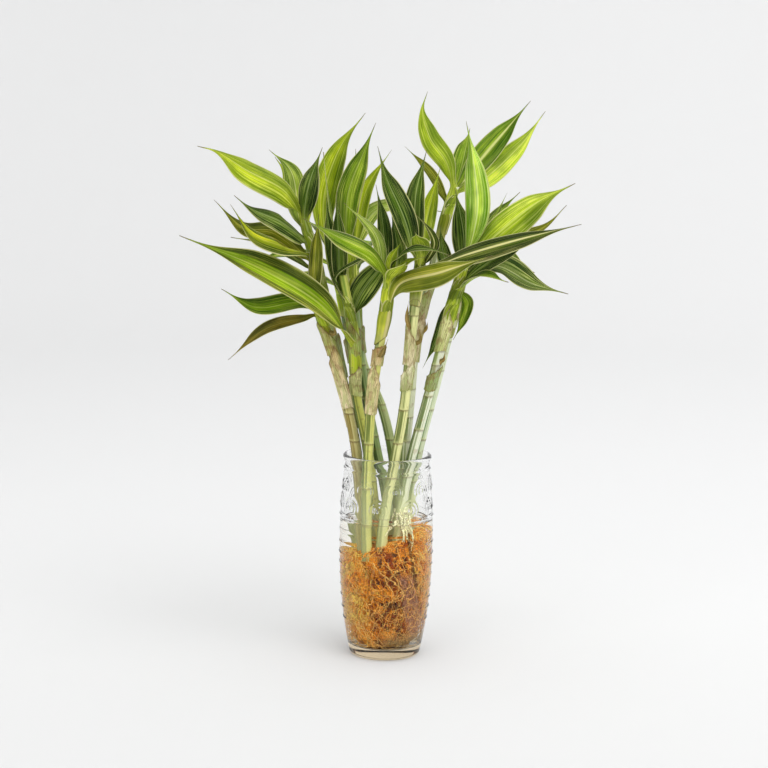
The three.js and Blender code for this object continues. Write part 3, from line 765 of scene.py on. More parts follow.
def wandering(start, end, bends, sway, rounds, chance):
    """A line of points from one place to another that sways on the way, smoothed a number of times."""
    swayed = between(start, end, np.linspace(0, 1, bends)[:, None])
    swayed[1:] += np.array([[chance.gauss(0, sway) for _ in range(3)] for _ in range(bends)])[1:]
    dense = np.linspace(0, bends - 1, bends * WANDER_STEPS)
    points = np.stack([np.interp(dense, range(bends), swayed[:, axis]) for axis in range(3)], 1)
    for _ in range(rounds):
        points[1:-1] = (points[:-2] + 2 * points[1:-1] + points[2:]) / 4
    return points


def arched(points):
    """A rise and fall along a line of points."""
    return np.sin(np.linspace(0, math.pi, len(points)))


def wall_root(shape, chance):
    """A root that runs down just inside the glass."""
    turn = chance.uniform(0, 2 * math.pi)
    sweep = chance.gauss(0, WALL_SWEEP)
    depth = chance.uniform(*WALL_DEPTHS)
    low = chance.uniform(ROOT_BOTTOM, WALL_FOOT)
    high = root_top(WALL_RING * math.cos(turn)) - chance.uniform(0, WALL_DROP)
    shares = np.linspace(0, 1, WALL_STEPS)
    heights = between(high, low, shares)
    snake = WALL_SNAKE * np.sin(shares * chance.uniform(*WALL_SNAKE_WAVES) + turn)
    points = upright(turn + sweep * shares + snake, root_radius(heights) * depth, heights)
    radius = chance.uniform(*WALL_RADII)
    radii = radius * (1 - WALL_TAPER * shares)
    warm = chance.uniform(*WALL_WARMTHS)
    pale = float(chance.random() > WALL_DARK_SHARE)
    tube(shape, settled(points, radius), radii, THICK_SIDES, warm=warm, pale=pale)


def crown_root(shape, chance):
    """A root that leaves the foot of a cane, arches out to the glass and goes down."""
    route = chance.choice(list(ROUTES.values()))
    foot = np.array(route[0], float) + (0, 0, chance.uniform(*CROWN_LIFTS))
    turn = math.atan2(foot[1], foot[0]) + chance.gauss(0, CROWN_SWEEP)
    low = chance.uniform(*CROWN_FEET)
    end = upright(turn, root_radius(low) * chance.uniform(*CROWN_DEPTHS), low)
    points = wandering(foot, end, *CROWN_WANDER, chance)
    points[:, 2] += CROWN_ARCH * arched(points)
    points[:, 2] = np.minimum(points[:, 2], root_top(points[:, 0]) + CROWN_OVER)
    radius = chance.uniform(*CROWN_RADII)
    radii = radius * np.linspace(1, CROWN_TAPER, len(points))
    warm = chance.random()
    pale = float(chance.random() > CROWN_DARK_SHARE)
    tube(shape, settled(points, radius), radii, THICK_SIDES, warm=warm, pale=pale)


def stray_root(shape, chance, reach_down, thick, pale):
    """A thin root that strays over the others, just inside the glass."""
    turn = chance.uniform(0, 2 * math.pi)
    low, high = STRAY_LIFTS
    height = chance.uniform(ROOT_BOTTOM + low, float(root_top(STRAY_RING * math.cos(turn))) + high)
    reach = root_radius(height)
    onward = turn + chance.gauss(0, STRAY_SWEEP)
    fallen = max(height - chance.uniform(*STRAY_FALLS) * reach_down, ROOT_BOTTOM)
    points = wandering(upright(turn, reach, height), upright(onward, reach, fallen), *STRAY_WANDER, chance)
    spread = np.hypot(points[:, 0], points[:, 1])
    points[:, :2] *= (root_radius(points[:, 2]) / np.maximum(spread, TINY))[:, None]
    radii = np.full(len(points), chance.uniform(*STRAY_SHARES) * thick)
    tube(shape, settled(points, thick), radii, THIN_SIDES, warm=chance.random(), pale=pale)


def fine_root(shape, chance):
    stray_root(shape, chance, *FINE_ROOT, 1.0)


def rootlet(shape, chance):
    stray_root(shape, chance, *ROOTLET, chance.choice(ROOTLET_PALENESS))


def tuft_root(shape, chance):
    """A short thin root that lies over the top of the mass."""
    turn = chance.uniform(0, 2 * math.pi)
    start = upright(turn, TUFT_REACH * chance.random() ** 0.5, 0)
    onward = turn + chance.gauss(0, TUFT_SWEEP)
    points = wandering(start, start + upright(onward, TUFT_LENGTH, 0), *TUFT_WANDER, chance)
    rise, reach = TUFT_DOME
    away = np.hypot(points[:, 0], points[:, 1]) / reach
    points[:, 2] = root_top(points[:, 0]) + rise * np.sqrt(np.clip(1 - away**2, 0, 1))
    points[:, 2] += TUFT_ARCH * arched(points) + chance.uniform(*TUFT_LIFTS)
    radii = np.full(len(points), chance.uniform(*TUFT_RADII))
    warm = chance.random()
    pale = chance.choice(TUFT_PALENESS)
    tube(shape, settled(points, TUFT_CLEARANCE), radii, THIN_SIDES, warm=warm, pale=pale)


def sprout_root(shape, chance):
    """A fresh thick root near the foot of a cane, white and pointed."""
    start = np.array([chance.uniform(*limits) for limits in SPROUT_STARTS])
    end = start + [chance.uniform(*limits) for limits in SPROUT_RUNS]
    points = settled(wandering(start, end, *SPROUT_WANDER, chance), SPROUT_CLEARANCE)
    tube(shape, points, np.linspace(*SPROUT_RADII, len(points)), SPROUT_SIDES, warm=0.0, pale=2.0)


def root_pieces():
    """The core, the roots over it, and the finest ones on top, all in one order of random draws."""
    chance = random.Random(ROOT_SEED)
    core = Shape()
    root_core(core)
    build_piece("root_core", core, root_material(), "roots")
    strands = ((wall_root, 230), (crown_root, 100), (fine_root, 230), (sprout_root, 16))
    fuzz = ((rootlet, 240), (tuft_root, 420))
    for name, kinds in (("root_strands", strands), ("root_fuzz", fuzz)):
        shape = Shape()
        for maker, count in kinds:
            for _ in range(count):
                maker(shape, chance)
        build_piece(name, shape, root_material(), "roots")


# Canes and sheaths


def cane_centre(route, heights):
    """The middle of a cane at each height: a cubic line through the points of its route."""
    route = np.array(route, float)
    heights = np.asarray(heights, float)
    run = np.concatenate([route[1:], route[-1:]]) - np.concatenate([route[:1], route[:-1]])
    slopes = run[:, :2] / run[:, 2:]
    places = route[:, 2]
    first = np.clip(np.searchsorted(places, heights, side="left") - 1, 0, len(route) - 2)
    span = (places[first + 1] - places[first])[..., None]
    share = np.minimum((heights - places[first])[..., None] / span, 1)
    sideways = (
        (2 * share**3 - 3 * share**2 + 1) * route[first, :2]
        + (share**3 - 2 * share**2 + share) * span * slopes[first]
        + (3 * share**2 - 2 * share**3) * route[first + 1, :2]
        + (share**3 - share**2) * span * slopes[first + 1]
    )
    return np.concatenate([sideways, heights[..., None]], -1)


def cane_radius(route, heights):
    """A cane's radius at each height, without its rings: it narrows towards the top."""
    bottom, top = route[0][2], route[-1][2]
    return CANE_RADIUS * between(1, TIP_TAPER, np.clip((heights - bottom) / (top - bottom), 0, 1))


def cane_stem(name):
    """A cane with its node rings; each ring has a dark scar under a pale band."""
    route = ROUTES[name]
    rings, low_tone, high_tone, pale_tone = STALKS[name]
    bottom, top = route[0][2], route[-1][2]
    beside = np.add.outer(rings, (-RING_STEP, 0, RING_STEP)).ravel()
    heights = np.unique(np.concatenate([np.arange(bottom, top, CANE_STEP), [top], beside]))
    heights = heights[heights <= top][:, None]
    away = heights - rings
    radii = cane_radius(route, heights) + RING_SWELL * bump(away, RING_SPREAD).sum(1, keepdims=True)
    scar, band = (bump(away - place, width).max(1, keepdims=True) for place, width in (SCAR, BAND))
    turn = turns(CANE_SIDES)
    shape = Shape()
    shape.add(
        cane_centre(route, heights) + upright(turn, radii, 0), foot=True, top=True,
        scar=scar, band=band, section=(away > 0).sum(1, keepdims=True), height=heights,
        # the colour of the pale painted highlight on the side towards the light
        side_x=np.cos(turn), side_y=np.sin(turn), pale_tone=linear(pale_tone),
        tone=between(linear(low_tone), linear(high_tone), smooth(heights, *STALK_RANGE)[..., None]),
    )
    build_piece(f"{name}_stem", shape, cane_material(), name)


def cane_sheaths(name):
    """The papery sheaths of a cane: thin shells with a ragged, slanting upper edge."""
    shape = Shape()
    chance = random.Random(name)
    turn = turns(SHEATH_SIDES)
    shares = np.linspace(0, 1, SHEATH_ROWS)[:, None]
    for low, high, facing, drop, low_colour, high_colour in SHEATHS[name]:
        away = np.abs((turn - math.radians(facing - 90) + math.pi) % (2 * math.pi) - math.pi) / math.pi
        ragged = np.array([chance.uniform(-SHEATH_RAGGED, SHEATH_RAGGED) for _ in turn])
        upper = high - drop * away**SHEATH_SLANT + ragged
        lower = low + SHEATH_FOOT_WAVE * np.sin(turn * 2 + low) + SHEATH_FOOT_RAGGED * ragged
        heights = between(lower, upper, shares)
        flare = SHEATH_FLARE * shares**3 * (1 - SHEATH_TIGHT_BACK * away)
        deep, creases, slant = SHEATH_CREASE
        crease = deep * np.sin(creases * turn + slant * shares)
        radius = CANE_RADIUS + RING_SWELL + SHEATH_GAP + flare + crease
        middle = cane_centre(ROUTES[name], heights)
        outer, inner = (middle + upright(turn, radius + thick, 0) for thick in (SHEATH_THICKNESS, 0))
        loop = np.concatenate([outer, inner[::-1], outer[:1]])
        climb = np.concatenate([shares, shares[::-1], shares[:1]])
        shape.add(
            loop, tone=between(linear(low_colour), linear(high_colour), climb[..., None]),
            side_x=np.cos(turn), side_y=np.sin(turn), height=loop[..., 2], rim=climb,
        )
    build_piece(f"{name}_sheaths", shape, sheath_material(), name)


# Leaves


def blade_share(along):
    """How wide a blade is along its length: a clasping foot, a full middle and a long drawn-out point."""
    slimness = BLADE_SLIMNESS + FOOT_SLIMNESS * (1 - smooth(along, *FOOT_SLIM_RANGE))
    body = np.clip(np.sin(math.pi * along**BLADE_LEAN), 0, None) ** slimness
    body = body * (1 - TAIL_NARROWING * smooth(along, *TAIL_RANGE))
    tail = TAIL_SHARE * (1 - TAIL_TIP * smooth(along, *TAIL_TIP_RANGE))
    return np.maximum(np.maximum(body, FOOT_SHARE * (1 - along) ** 2), tail)


def wrapped_foot(route, start, outward, layer, steps, across):
    """Where the foot of a leaf lies while it is rolled round its cane: its inner and outer face."""
    heights = start + steps
    hug = between(WRAP_LEAST_HUG, 1, smooth(steps, -SLEEVE_REACH, 0)) * (WRAP_GAP + WRAP_LAYER * layer)
    radius = cane_radius(route, heights) + hug + WRAP_SPIRAL * across
    closed = 1 - WRAP_OPENING * smooth(steps, *WRAP_OPENING_RANGE)
    angle = math.atan2(outward[1], outward[0]) - across * closed * math.radians(WRAP_ANGLE)
    centre = cane_centre(route, heights)
    return [centre + upright(angle, radius + thick, 0) for thick in (0, SLEEVE_THICKNESS)]


def blade_spine(along, line, run, outward, face):
    """The midrib's places, the way across the blade and the way that its upper face looks."""
    centre = np.stack([np.interp(along * run[-1], run, line[:, axis]) for axis in range(3)], 1)
    tangent = unit(np.gradient(centre, axis=0))
    turn, rise = (math.radians(angle) for angle in face)
    facing = np.array([math.sin(turn) * math.cos(rise), -math.cos(turn) * math.cos(rise), math.sin(rise)])
    inward = np.array([0, 0, FOOT_LIFT]) - outward
    if facing @ inward < 0 and face[1] <= LYING_RISE:
        facing = -facing
    normal = between(inward, facing, smooth(along, *TURN_RANGE)[:, None])
    normal = unit(normal - (normal * tangent).sum(1, keepdims=True) * tangent)
    return centre[:, None], np.cross(tangent, normal)[:, None], normal[:, None]


def open_blade(along, across, width, sway, spine):
    """The lower and upper face of a blade, folded along its midrib, with waved margins."""
    centre, side, normal = spine
    half = width / 2 * blade_share(along)
    fold = np.radians(between(FOOT_FOLD, OPEN_FOLD, smooth(along, 0, OPENS_BY)))
    wave = MARGIN_WAVE * sway * np.abs(across) ** 3 * smooth(along, *MARGIN_WAVE_RANGE)
    out = across * half * np.cos(fold)
    lift = half * (np.sin(fold) * np.abs(across) ** BLADE_CUP + wave)
    thickness = between(BLADE_BASE_THICKNESS, BLADE_THICKNESS, np.clip(along / BLADE_THINS_BY, 0, 1))
    skin = thickness * (1 - BLADE_EDGE_THINNING * across**4) / 2
    return [centre + side * out[..., None] + normal * (lift + way * skin)[..., None] for way in (-1, 1)]


def blade(shape, route, leaf, layer, chance):
    """One leaf: a rolled foot round its cane that opens into a blade, closed all round."""
    start, via, tip, width, face, tone = leaf
    foot, clasp = cane_centre(route, [start, start + CLASP_RISE])
    outward = unit(np.array([via[0][0] - clasp[0], via[0][1] - clasp[1], 0]))
    line, run = spline([foot, clasp + CANE_RADIUS * outward, *via, tip])
    along = np.linspace(0, 1, BLADE_STATIONS)[:, None]
    across = np.linspace(-1, 1, BLADE_COLUMNS)
    phase = chance.uniform(*SWAY_PHASES)
    sway = np.sin(along * chance.uniform(*SWAY_WAVES) + phase + SWAY_SLANT * across)
    spine = blade_spine(along[:, 0], line, run, outward, face)
    lower, upper = open_blade(along, across, width, sway, spine)
    sleeve = np.zeros((0, 1))
    if tone != "dry":
        sleeve = np.linspace(1, 0, SLEEVE_ROWS, endpoint=False)[:, None]
        steps = np.concatenate([-SLEEVE_REACH * sleeve, along * run[-1]])
        tooth, teeth, shift = SLEEVE_TEETH
        slant, bends = SLEEVE_SLANT
        ragged = tooth * np.sin(teeth * across + shift * phase) + slant * np.cos(bends * across + phase)
        ragged = np.concatenate([sleeve, 0 * along]) * ragged
        inner, outer = wrapped_foot(route, start, outward, layer, steps + ragged, across)
        opened = smooth(steps, *WRAP_RANGE)[..., None]
        first = [0] * SLEEVE_ROWS + list(range(BLADE_STATIONS))
        lower = between(outer, lower[first], opened)
        upper = between(inner, upper[first], opened)
    outer_tone, middle_tone, line_tone = (linear(rgb) for rgb in LEAF_TONES[tone])
    shape.add(
        np.concatenate([upper, lower[:, ::-1]], 1), foot=True, top=True,
        across=np.concatenate([across, across[::-1]]), along=np.concatenate([0 * sleeve, along]),
        sleeve=np.concatenate([sleeve, 0 * along]), under=np.repeat((0.0, 1.0), BLADE_COLUMNS),
        # which half of the blade is painted lit and which painted shaded
        seed=chance.uniform(*LEAF_SEEDS), dry=float(tone == "dry"), lean=chance.choice([-1.0, 1.0]),
        outer_tone=outer_tone, middle_tone=middle_tone, line_tone=line_tone, rib=float(tone in STRONG_RIBS),
    )


def cane_leaves(name):
    shape = Shape()
    chance = random.Random(name)
    for layer, leaf in enumerate(sorted(LEAVES[name], key=lambda leaf: -leaf[0])):
        blade(shape, ROUTES[name], leaf, layer, chance)
    build_piece(f"{name}_leaves", shape, leaf_material(), name)


# Shader values: a colour of three numbers is a screen colour of 255, and one of four is linear light.


def plug(tree, value, socket):
    """Joins a worked-out value to a socket, or writes a plain one into it."""
    if isinstance(value, Value):
        tree.links.new(value.socket, socket)
    elif isinstance(value, tuple) and len(value) == 3:
        socket.default_value = linear(value)
    else:
        socket.default_value = value


def added(tree, kind, inputs=(), output=0, **settings):
    """The value of one output of a new node, with its settings made and its inputs filled in."""
    node = tree.nodes.new(f"ShaderNode{kind}")
    for name, setting in settings.items():
        setattr(node, name, setting)
    for place, value in dict(inputs).items():
        plug(tree, value, node.inputs[place])
    return Value(tree, node.outputs[output])


class Value:
    """A number or a colour in a shader tree; working with it adds nodes to the tree."""

    def __init__(self, tree, socket):
        self.tree = tree
        self.socket = socket

    def worked(self, operation, other=0.0):
        return added(self.tree, "Math", {0: self, 1: other}, operation=operation)

    __add__ = partialmethod(worked, "ADD")
    __sub__ = partialmethod(worked, "SUBTRACT")
    __mul__ = partialmethod(worked, "MULTIPLY")
    __truediv__ = partialmethod(worked, "DIVIDE")
    larger = partialmethod(worked, "MAXIMUM")
    size = partialmethod(worked, "ABSOLUTE")
    sine = partialmethod(worked, "SINE")

    def risen(self, none, full):
        """Nothing at one value and one at the other, eased between, whichever of the two is the higher."""
        inputs = {"Value": self, "From Min": none, "From Max": full}
        return added(self.tree, "MapRange", inputs, interpolation_type="SMOOTHSTEP")

    def fallen(self, full, none):
        """In full at the lower value, and nothing at the higher one."""
        return self.risen(none, full)

    def mixed(self, kind, share, first, second):
        inputs = {0: share, 6: first, 7: second}
        return added(self.tree, "Mix", inputs, 2, data_type="RGBA", blend_type=kind)

    def blend(self, first, second):
        """The first colour where this share is nothing, the second where it is one."""
        return self.mixed("MIX", self, first, second)

    def towards(self, colour, share):
        """This colour, moved towards another by a share."""
        return self.mixed("MIX", share, self, colour)

    def times(self, colour):
        """This colour multiplied by another."""
        return self.mixed("MULTIPLY", 1.0, self, colour)

    def shaded(self, share, shades):
        """This colour multiplied by a pair of shades, from the first to the second as the share grows."""
        return self.times(share.blend(*shades))

    def layered(self, *layers):
        """This colour under layers: each one's colour, the value that shows it, the ends of that value
        where it shows not at all and in full, and its strength."""
        colour = self
        for tone, value, ends, strength in layers:
            share = value.risen(*ends) if ends else value
            colour = colour.towards(tone, share * strength)
        return colour


class Shader:
    """A material with one Principled surface; its places and grain sizes are in millimetres."""

    def __init__(self, name):
        self.material = bpy.data.materials.new(name)
        self.material.use_nodes = True
        self.tree = self.material.node_tree
        self.surface = self.tree.nodes["Principled BSDF"]

    def named(self, name):
        """A number that the mesh carries at each point."""
        return added(self.tree, "Attribute", output="Fac", attribute_name=name)

    def colour(self, name):
        """A colour that the mesh carries at each point."""
        return added(self.tree, "Attribute", output="Color", attribute_name=name)

    def place(self):
        """The point's place on the object."""
        metres = added(self.tree, "TexCoord", output="Object")
        return added(self.tree, "VectorMath", {0: metres, "Scale": 1 / MM}, operation="SCALE")

    def axes(self):
        """The x, y and z of the point's place."""
        return [added(self.tree, "SeparateXYZ", {0: self.place()}, axis) for axis in range(3)]

    def cloud(self, grain, detail, place=None):
        """Soft noise about one half, in grains of a size, over the object's place or another one."""
        inputs = {"Vector": place or self.place(), "Scale": 1 / grain, "Detail": detail}
        return added(self.tree, "TexNoise", inputs)

    def point(self, x, y, z):
        return added(self.tree, "CombineXYZ", {0: x, 1: y, 2: z})

    def streaks(self, around, up, shift, detail):
        """Noise drawn out along a stalk: grains round it and up it."""
        side_x, side_y, height = (self.named(name) for name in ("side_x", "side_y", "height"))
        return self.cloud(1, detail, self.point(side_x * around + shift, side_y * around, height * up))

    def bumpy(self, height, depth, strength):
        inputs = {"Height": height, "Distance": depth * MM, "Strength": strength}
        plug(self.tree, added(self.tree, "Bump", inputs), self.surface.inputs["Normal"])

    def finished(self, colour, **settings):
        """The material with its base colour and plain settings written in."""
        for name, value in {"Base_Color": colour, **settings}.items():
            plug(self.tree, value, self.surface.inputs[name.replace("_", " ")])
        return self.material

    def mixed_with(self, other, share):
        """Mixes another surface over the Principled one, by a plain share or a value."""
        inputs = {0: share, 1: Value(self.tree, self.surface.outputs[0]), 2: other}
        end = self.tree.nodes["Material Output"].inputs["Surface"]
        plug(self.tree, added(self.tree, "MixShader", inputs), end)

    def lets_lamps_through(self, tint):
        """Light from the lamps passes the clear surface instead of stopping at it."""
        through = added(self.tree, "BsdfTransparent", {"Color": tint})
        self.mixed_with(through, added(self.tree, "LightPath", output="Is Shadow Ray"))


def grey(level):
    return (level, level, level, 1)


# Glass and water

GLASS_TINT = (0.99, 0.992, 0.985, 1)
GLASS_LAMP_TINT = (0.97, 0.98, 0.97, 1)
GLASS_BEND = 1.38
GLASS_RIPPLE = (16.7, 0.25, 0.12)
BASE_TINT = (0.72, 0.58, 0.38, 1)
BASE_RANGE = (7, 14)
WATERLINE_RANGE = (112, 124)
LOW_SHINE = grey(0.2)
HIGH_SHINE = grey(1)
WATER_TINT = (1, 0.975, 0.91, 1)
WATER_LAMP_TINT = (0.99, 0.98, 0.95, 1)
WATER_SHINE = grey(0.05)
WATER_BEND = 1.18
WATER_RIPPLE = (25, 0.2, 0.1)
CLEAR = {"Transmission_Weight": 1, "Roughness": 0}


def clear_material(name, ripple, lamp_tint):
    """A clear shader whose surface is softly rippled, by a grain, a depth and a strength."""
    shader = Shader(name)
    grain, depth, strength = ripple
    shader.bumpy(shader.cloud(grain, 1), depth, strength)
    shader.lets_lamps_through(lamp_tint)
    return shader


def glass_material():
    """Clear glass: a warm tint in the thick base, and less shine where the roots lie behind it."""
    shader = clear_material("clear_glass", GLASS_RIPPLE, GLASS_LAMP_TINT)
    height = shader.axes()[2]
    tint = height.risen(*BASE_RANGE).blend(BASE_TINT, GLASS_TINT)
    shiny = height.risen(*WATERLINE_RANGE).larger(height.fallen(*BASE_RANGE))
    return shader.finished(tint, Specular_Tint=shiny.blend(LOW_SHINE, HIGH_SHINE), IOR=GLASS_BEND, **CLEAR)


def water_material():
    shader = clear_material("clear_water", WATER_RIPPLE, WATER_LAMP_TINT)
    return shader.finished(WATER_TINT, Specular_Tint=WATER_SHINE, IOR=WATER_BEND, **CLEAR)


# Roots, from the painted shade of the dark hollows to the golden tips of the fuzz. Left, right, top and foot
# are ranges in millimetres; the strengths of the painted hollow shade are their own, and what the two sides
# add.

# The darkest brown serves both the dark roots and the painted shade of the hollows.
ROOT_DARK_AND_SHADE = (54, 22, 4)
ROOT_RUST = (172, 82, 14)
ROOT_ORANGE = (242, 160, 38)
ROOT_GOLD = (252, 220, 104)
ROOT_MAUVE = (196, 146, 128)
ROOT_STRAW = (255, 208, 122)
ROOT_FRESH = (240, 242, 214)
ROOT_GRIT = (170, 150, 112)
SEAM_TONE = (62, 34, 16)
FUZZ_GRAIN = 1.9
FUZZ_SPREAD = 1.2
PATCH_GRAIN = 14.3
PATCH_SPREAD = 2.2
HOLLOW_SHADE_GRAIN = 6.7
HOLLOW_SHADE_STRENGTHS = (0.85, -0.8)
# Glints are painted highlights and shade in a fine grain.
GLINT_GRAIN = 0.9
GLINT_SHADES = ((0.7, 0.62, 0.5, 1), (1.42, 1.38, 1.15, 1))
LEFT_RANGE = (-24, -2)
LEFT_WARMTH = 0.7
RIGHT_RANGE = (14, 24)
RIGHT_WARMTH = 0.45
SEAM_SLOPE = 0.16
SEAM_PLACE = 35.2
SEAM_WANDER = 4
SEAM_FOOT = (50, 65)
STAIN_RIGHT = (-2, 0)
STAIN_TOP = (70, 80)
STAIN_FUZZ = (0.32, 0.46)
GRIT_LEFT = (-12, 8)


@cache
def root_material():
    """Golden at the left, rust with dark hollows of painted shade in the middle, a mauve stain by a dark seam
    at the right.
    """
    shader = Shader("orange_roots")
    x, _, z = shader.axes()
    pale = shader.named("pale")
    fuzz = shader.cloud(FUZZ_GRAIN, 3)
    patches = shader.cloud(PATCH_GRAIN, 2)
    sides = x.fallen(*LEFT_RANGE) * LEFT_WARMTH + x.risen(*RIGHT_RANGE) * RIGHT_WARMTH
    tone = shader.named("warm") + sides + (patches - 0.5) * PATCH_SPREAD + (fuzz - 0.5) * FUZZ_SPREAD
    # Painted shade of dark hollows: strong in the middle, weaker where the sides are warm.
    hollow_shade = sides * HOLLOW_SHADE_STRENGTHS[1] + HOLLOW_SHADE_STRENGTHS[0]
    beside = x + z * SEAM_SLOPE - SEAM_PLACE + (patches - 0.5) * SEAM_WANDER
    stain = beside.fallen(*STAIN_RIGHT) * z.fallen(*STAIN_TOP) * fuzz.risen(*STAIN_FUZZ)
    colour = tone.risen(-0.6, 0).blend(ROOT_DARK_AND_SHADE, ROOT_RUST)
    colour = colour.layered(
        (ROOT_ORANGE, tone, (0, 0.45), 1.0),
        (ROOT_GOLD, tone, (0.7, 1.3), 1.0),
        (ROOT_DARK_AND_SHADE, shader.cloud(HOLLOW_SHADE_GRAIN, 2), (0.45, 0.36), hollow_shade),
        (ROOT_MAUVE, beside, (-15, -11), stain * 0.85),
        (SEAM_TONE, beside.size(), (1.6, 0.6), z.risen(*SEAM_FOOT) * 0.75),
        (ROOT_STRAW, pale, None, 0.75),
        (ROOT_FRESH, pale - 1, None, 1.0),
        (ROOT_GRIT, z, (26, 14), x.risen(*GRIT_LEFT) * 0.8),
    )
    # Painted glints: a fine grain of painted highlights and shade over the roots.
    colour = colour.shaded(shader.cloud(GLINT_GRAIN, 2).risen(0.4, 0.6), GLINT_SHADES)
    shader.bumpy(fuzz, 0.5, 0.6)
    return shader.finished(colour, Roughness=0.6)


# Canes and sheaths; streaks are their grains round a stalk and up it, a shift and their detail.

# The first shade below is painted shade for the side of a stalk away from the light; the stalk's pale tone is
# a painted highlight on the side towards it.
DEEP_SHADE = (0.56, 0.65, 0.5, 1)
LIT_SIDE = (0.24, -0.09)
STRIPES = (2.4, 0.006)
FINE_STRIPES = (11, 0.03)
SECTION_STEP = 3.7
BLOTCH_GRAIN = 6.2
BLOTCH_TONE = (150, 116, 62)
BAND_TONE = (222, 220, 150)
SCAR_TONE = (104, 80, 40)
SOAKED_TONE = (246, 250, 186)
SOAKED_SIDE = (-8, 12)
SOAKED_STRENGTH = 0.35
FIBRES = (12, 0.05, 0, 3)
FIBRE_TONE = (238, 226, 186)
GREEN_PATCHES = (1.6, 0.06, 3, 2)
GREEN_PATCH_TONE = (150, 170, 78)
STAIN_GRAIN = 8.3
STAIN_TONES = ((146, 116, 66), (84, 62, 34))
RIM_TONE = (128, 92, 46)
CRACKS = (5, 0.05, 7, 4)
CRACK_TONE = (112, 82, 42)


@cache
def cane_material():
    """Green stalks: painted shade on the side away from the light and a pale painted highlight on the side
    towards it, pale stripes along each section, brown scars with pale bands, paler in the water.
    """
    shader = Shader("green_stalk")
    tone = shader.colour("tone")
    pale = shader.colour("pale_tone")
    # Painted shade: the stalk colour darkened, for the side away from the light and for dark fine streaks.
    deep = tone.times(DEEP_SHADE)
    section = shader.named("section") * SECTION_STEP
    fine = shader.streaks(*FINE_STRIPES, section, 3)
    to_light = shader.named("side_x") * LIT_SIDE[0] + shader.named("side_y") * LIT_SIDE[1]
    lit = to_light + shader.streaks(*STRIPES, section, 2)
    soaked = shader.axes()[0].risen(*SOAKED_SIDE) * SOAKED_STRENGTH + SOAKED_STRENGTH
    # Painted shade on the side away from the light, then a pale painted highlight on the lit side.
    colour = lit.risen(0.22, 0.5).blend(deep, tone)
    colour = colour.layered(
        (pale, lit, (0.43, 0.67), 1.0),
        (pale, fine, (0.5, 0.66), 0.45),
        (deep, fine, (0.44, 0.34), 0.5),
        (BLOTCH_TONE, shader.cloud(BLOTCH_GRAIN, 3), (0.6, 0.7), 0.35),
        (BAND_TONE, shader.named("band"), None, 0.35),
        (SCAR_TONE, shader.named("scar"), None, 0.75),
        (SOAKED_TONE, shader.named("height"), (180, 110), soaked),
    )
    shader.bumpy(fine, 0.35, 0.25)
    return shader.finished(colour, Roughness=0.4, Specular_IOR_Level=0.4)


@cache
def sheath_material():
    """Dry papery sheath: fibres and cracks along it, brown stains and a brown rim."""
    shader = Shader("papery_sheath")
    fibres = shader.streaks(*FIBRES)
    stains = shader.cloud(STAIN_GRAIN, 3)
    cracks = (shader.streaks(*CRACKS) - 0.5).size()
    colour = shader.colour("tone").layered(
        (FIBRE_TONE, fibres, (0.42, 0.62), 0.4),
        (GREEN_PATCH_TONE, shader.streaks(*GREEN_PATCHES), (0.44, 0.56), 0.5),
        (STAIN_TONES[0], stains, (0.5, 0.62), 0.55),
        (STAIN_TONES[1], stains, (0.66, 0.72), 0.6),
        (RIM_TONE, shader.named("rim"), (0.88, 0.98), 0.5),
        (CRACK_TONE, cracks, (0.028, 0.005), 0.8),
    )
    shader.bumpy(fibres, 0.6, 0.35)
    return shader.finished(colour, Roughness=0.75)


# Leaves; streaks are how many across and along, and their detail. A rib's reach and strength are for plain
# leaves, and what strong ribs add.

BROAD = (3.6, 1.4, 1)
MEDIUM = (9, 1.6, 2)
FINE = (30, 2.6, 2)
FOLDS = (2.2, 4, 2)
BAND_WANDER = 1.1
VEIN_TURNS = 30
VEIN_WANDER = 5
VEIN_SHADES = ((0.76, 0.8, 0.64, 1), (1.1, 1.08, 1.0, 1))
LEAF_PATCH_GRAIN = 22
PATCH_SHADES = ((0.86, 0.89, 0.7, 1), (1.2, 1.15, 1.0, 1))
# The next two pairs are painted light and shade: in soft folds along the blade, and on one half of the blade
# against the other.
PAINTED_FOLD_SHADING = ((0.7, 0.76, 0.6, 1), (1.1, 1.08, 1.0, 1))
PAINTED_HALF_LIGHT = ((0.8, 0.85, 0.68, 1), (1.18, 1.16, 1.06, 1))
UNDER_SHADES = (grey(1), (1.1, 1.08, 1.2, 1))
LINE_STRENGTH = 0.6
RIB_CALM = 0.75
RIB_REACH = (0.07, 0.08)
RIB_STRENGTH = (0.55, 0.35)
MARGIN_WANDER = 0.1
YOUNG_TONE = (184, 198, 72)
MARGIN_TONE = (222, 220, 150)
FOOT_TONE = (218, 212, 150)
FOOT_EDGE_TONE = (120, 92, 48)
TIP_TONE = (122, 104, 74)
TIP_RANGE = (0.93, 0.985)
DRY_SHARE = 0.3
GLOW_TINT = (1.5, 1.6, 0.7, 1)
GLOW_SHARE = 0.22


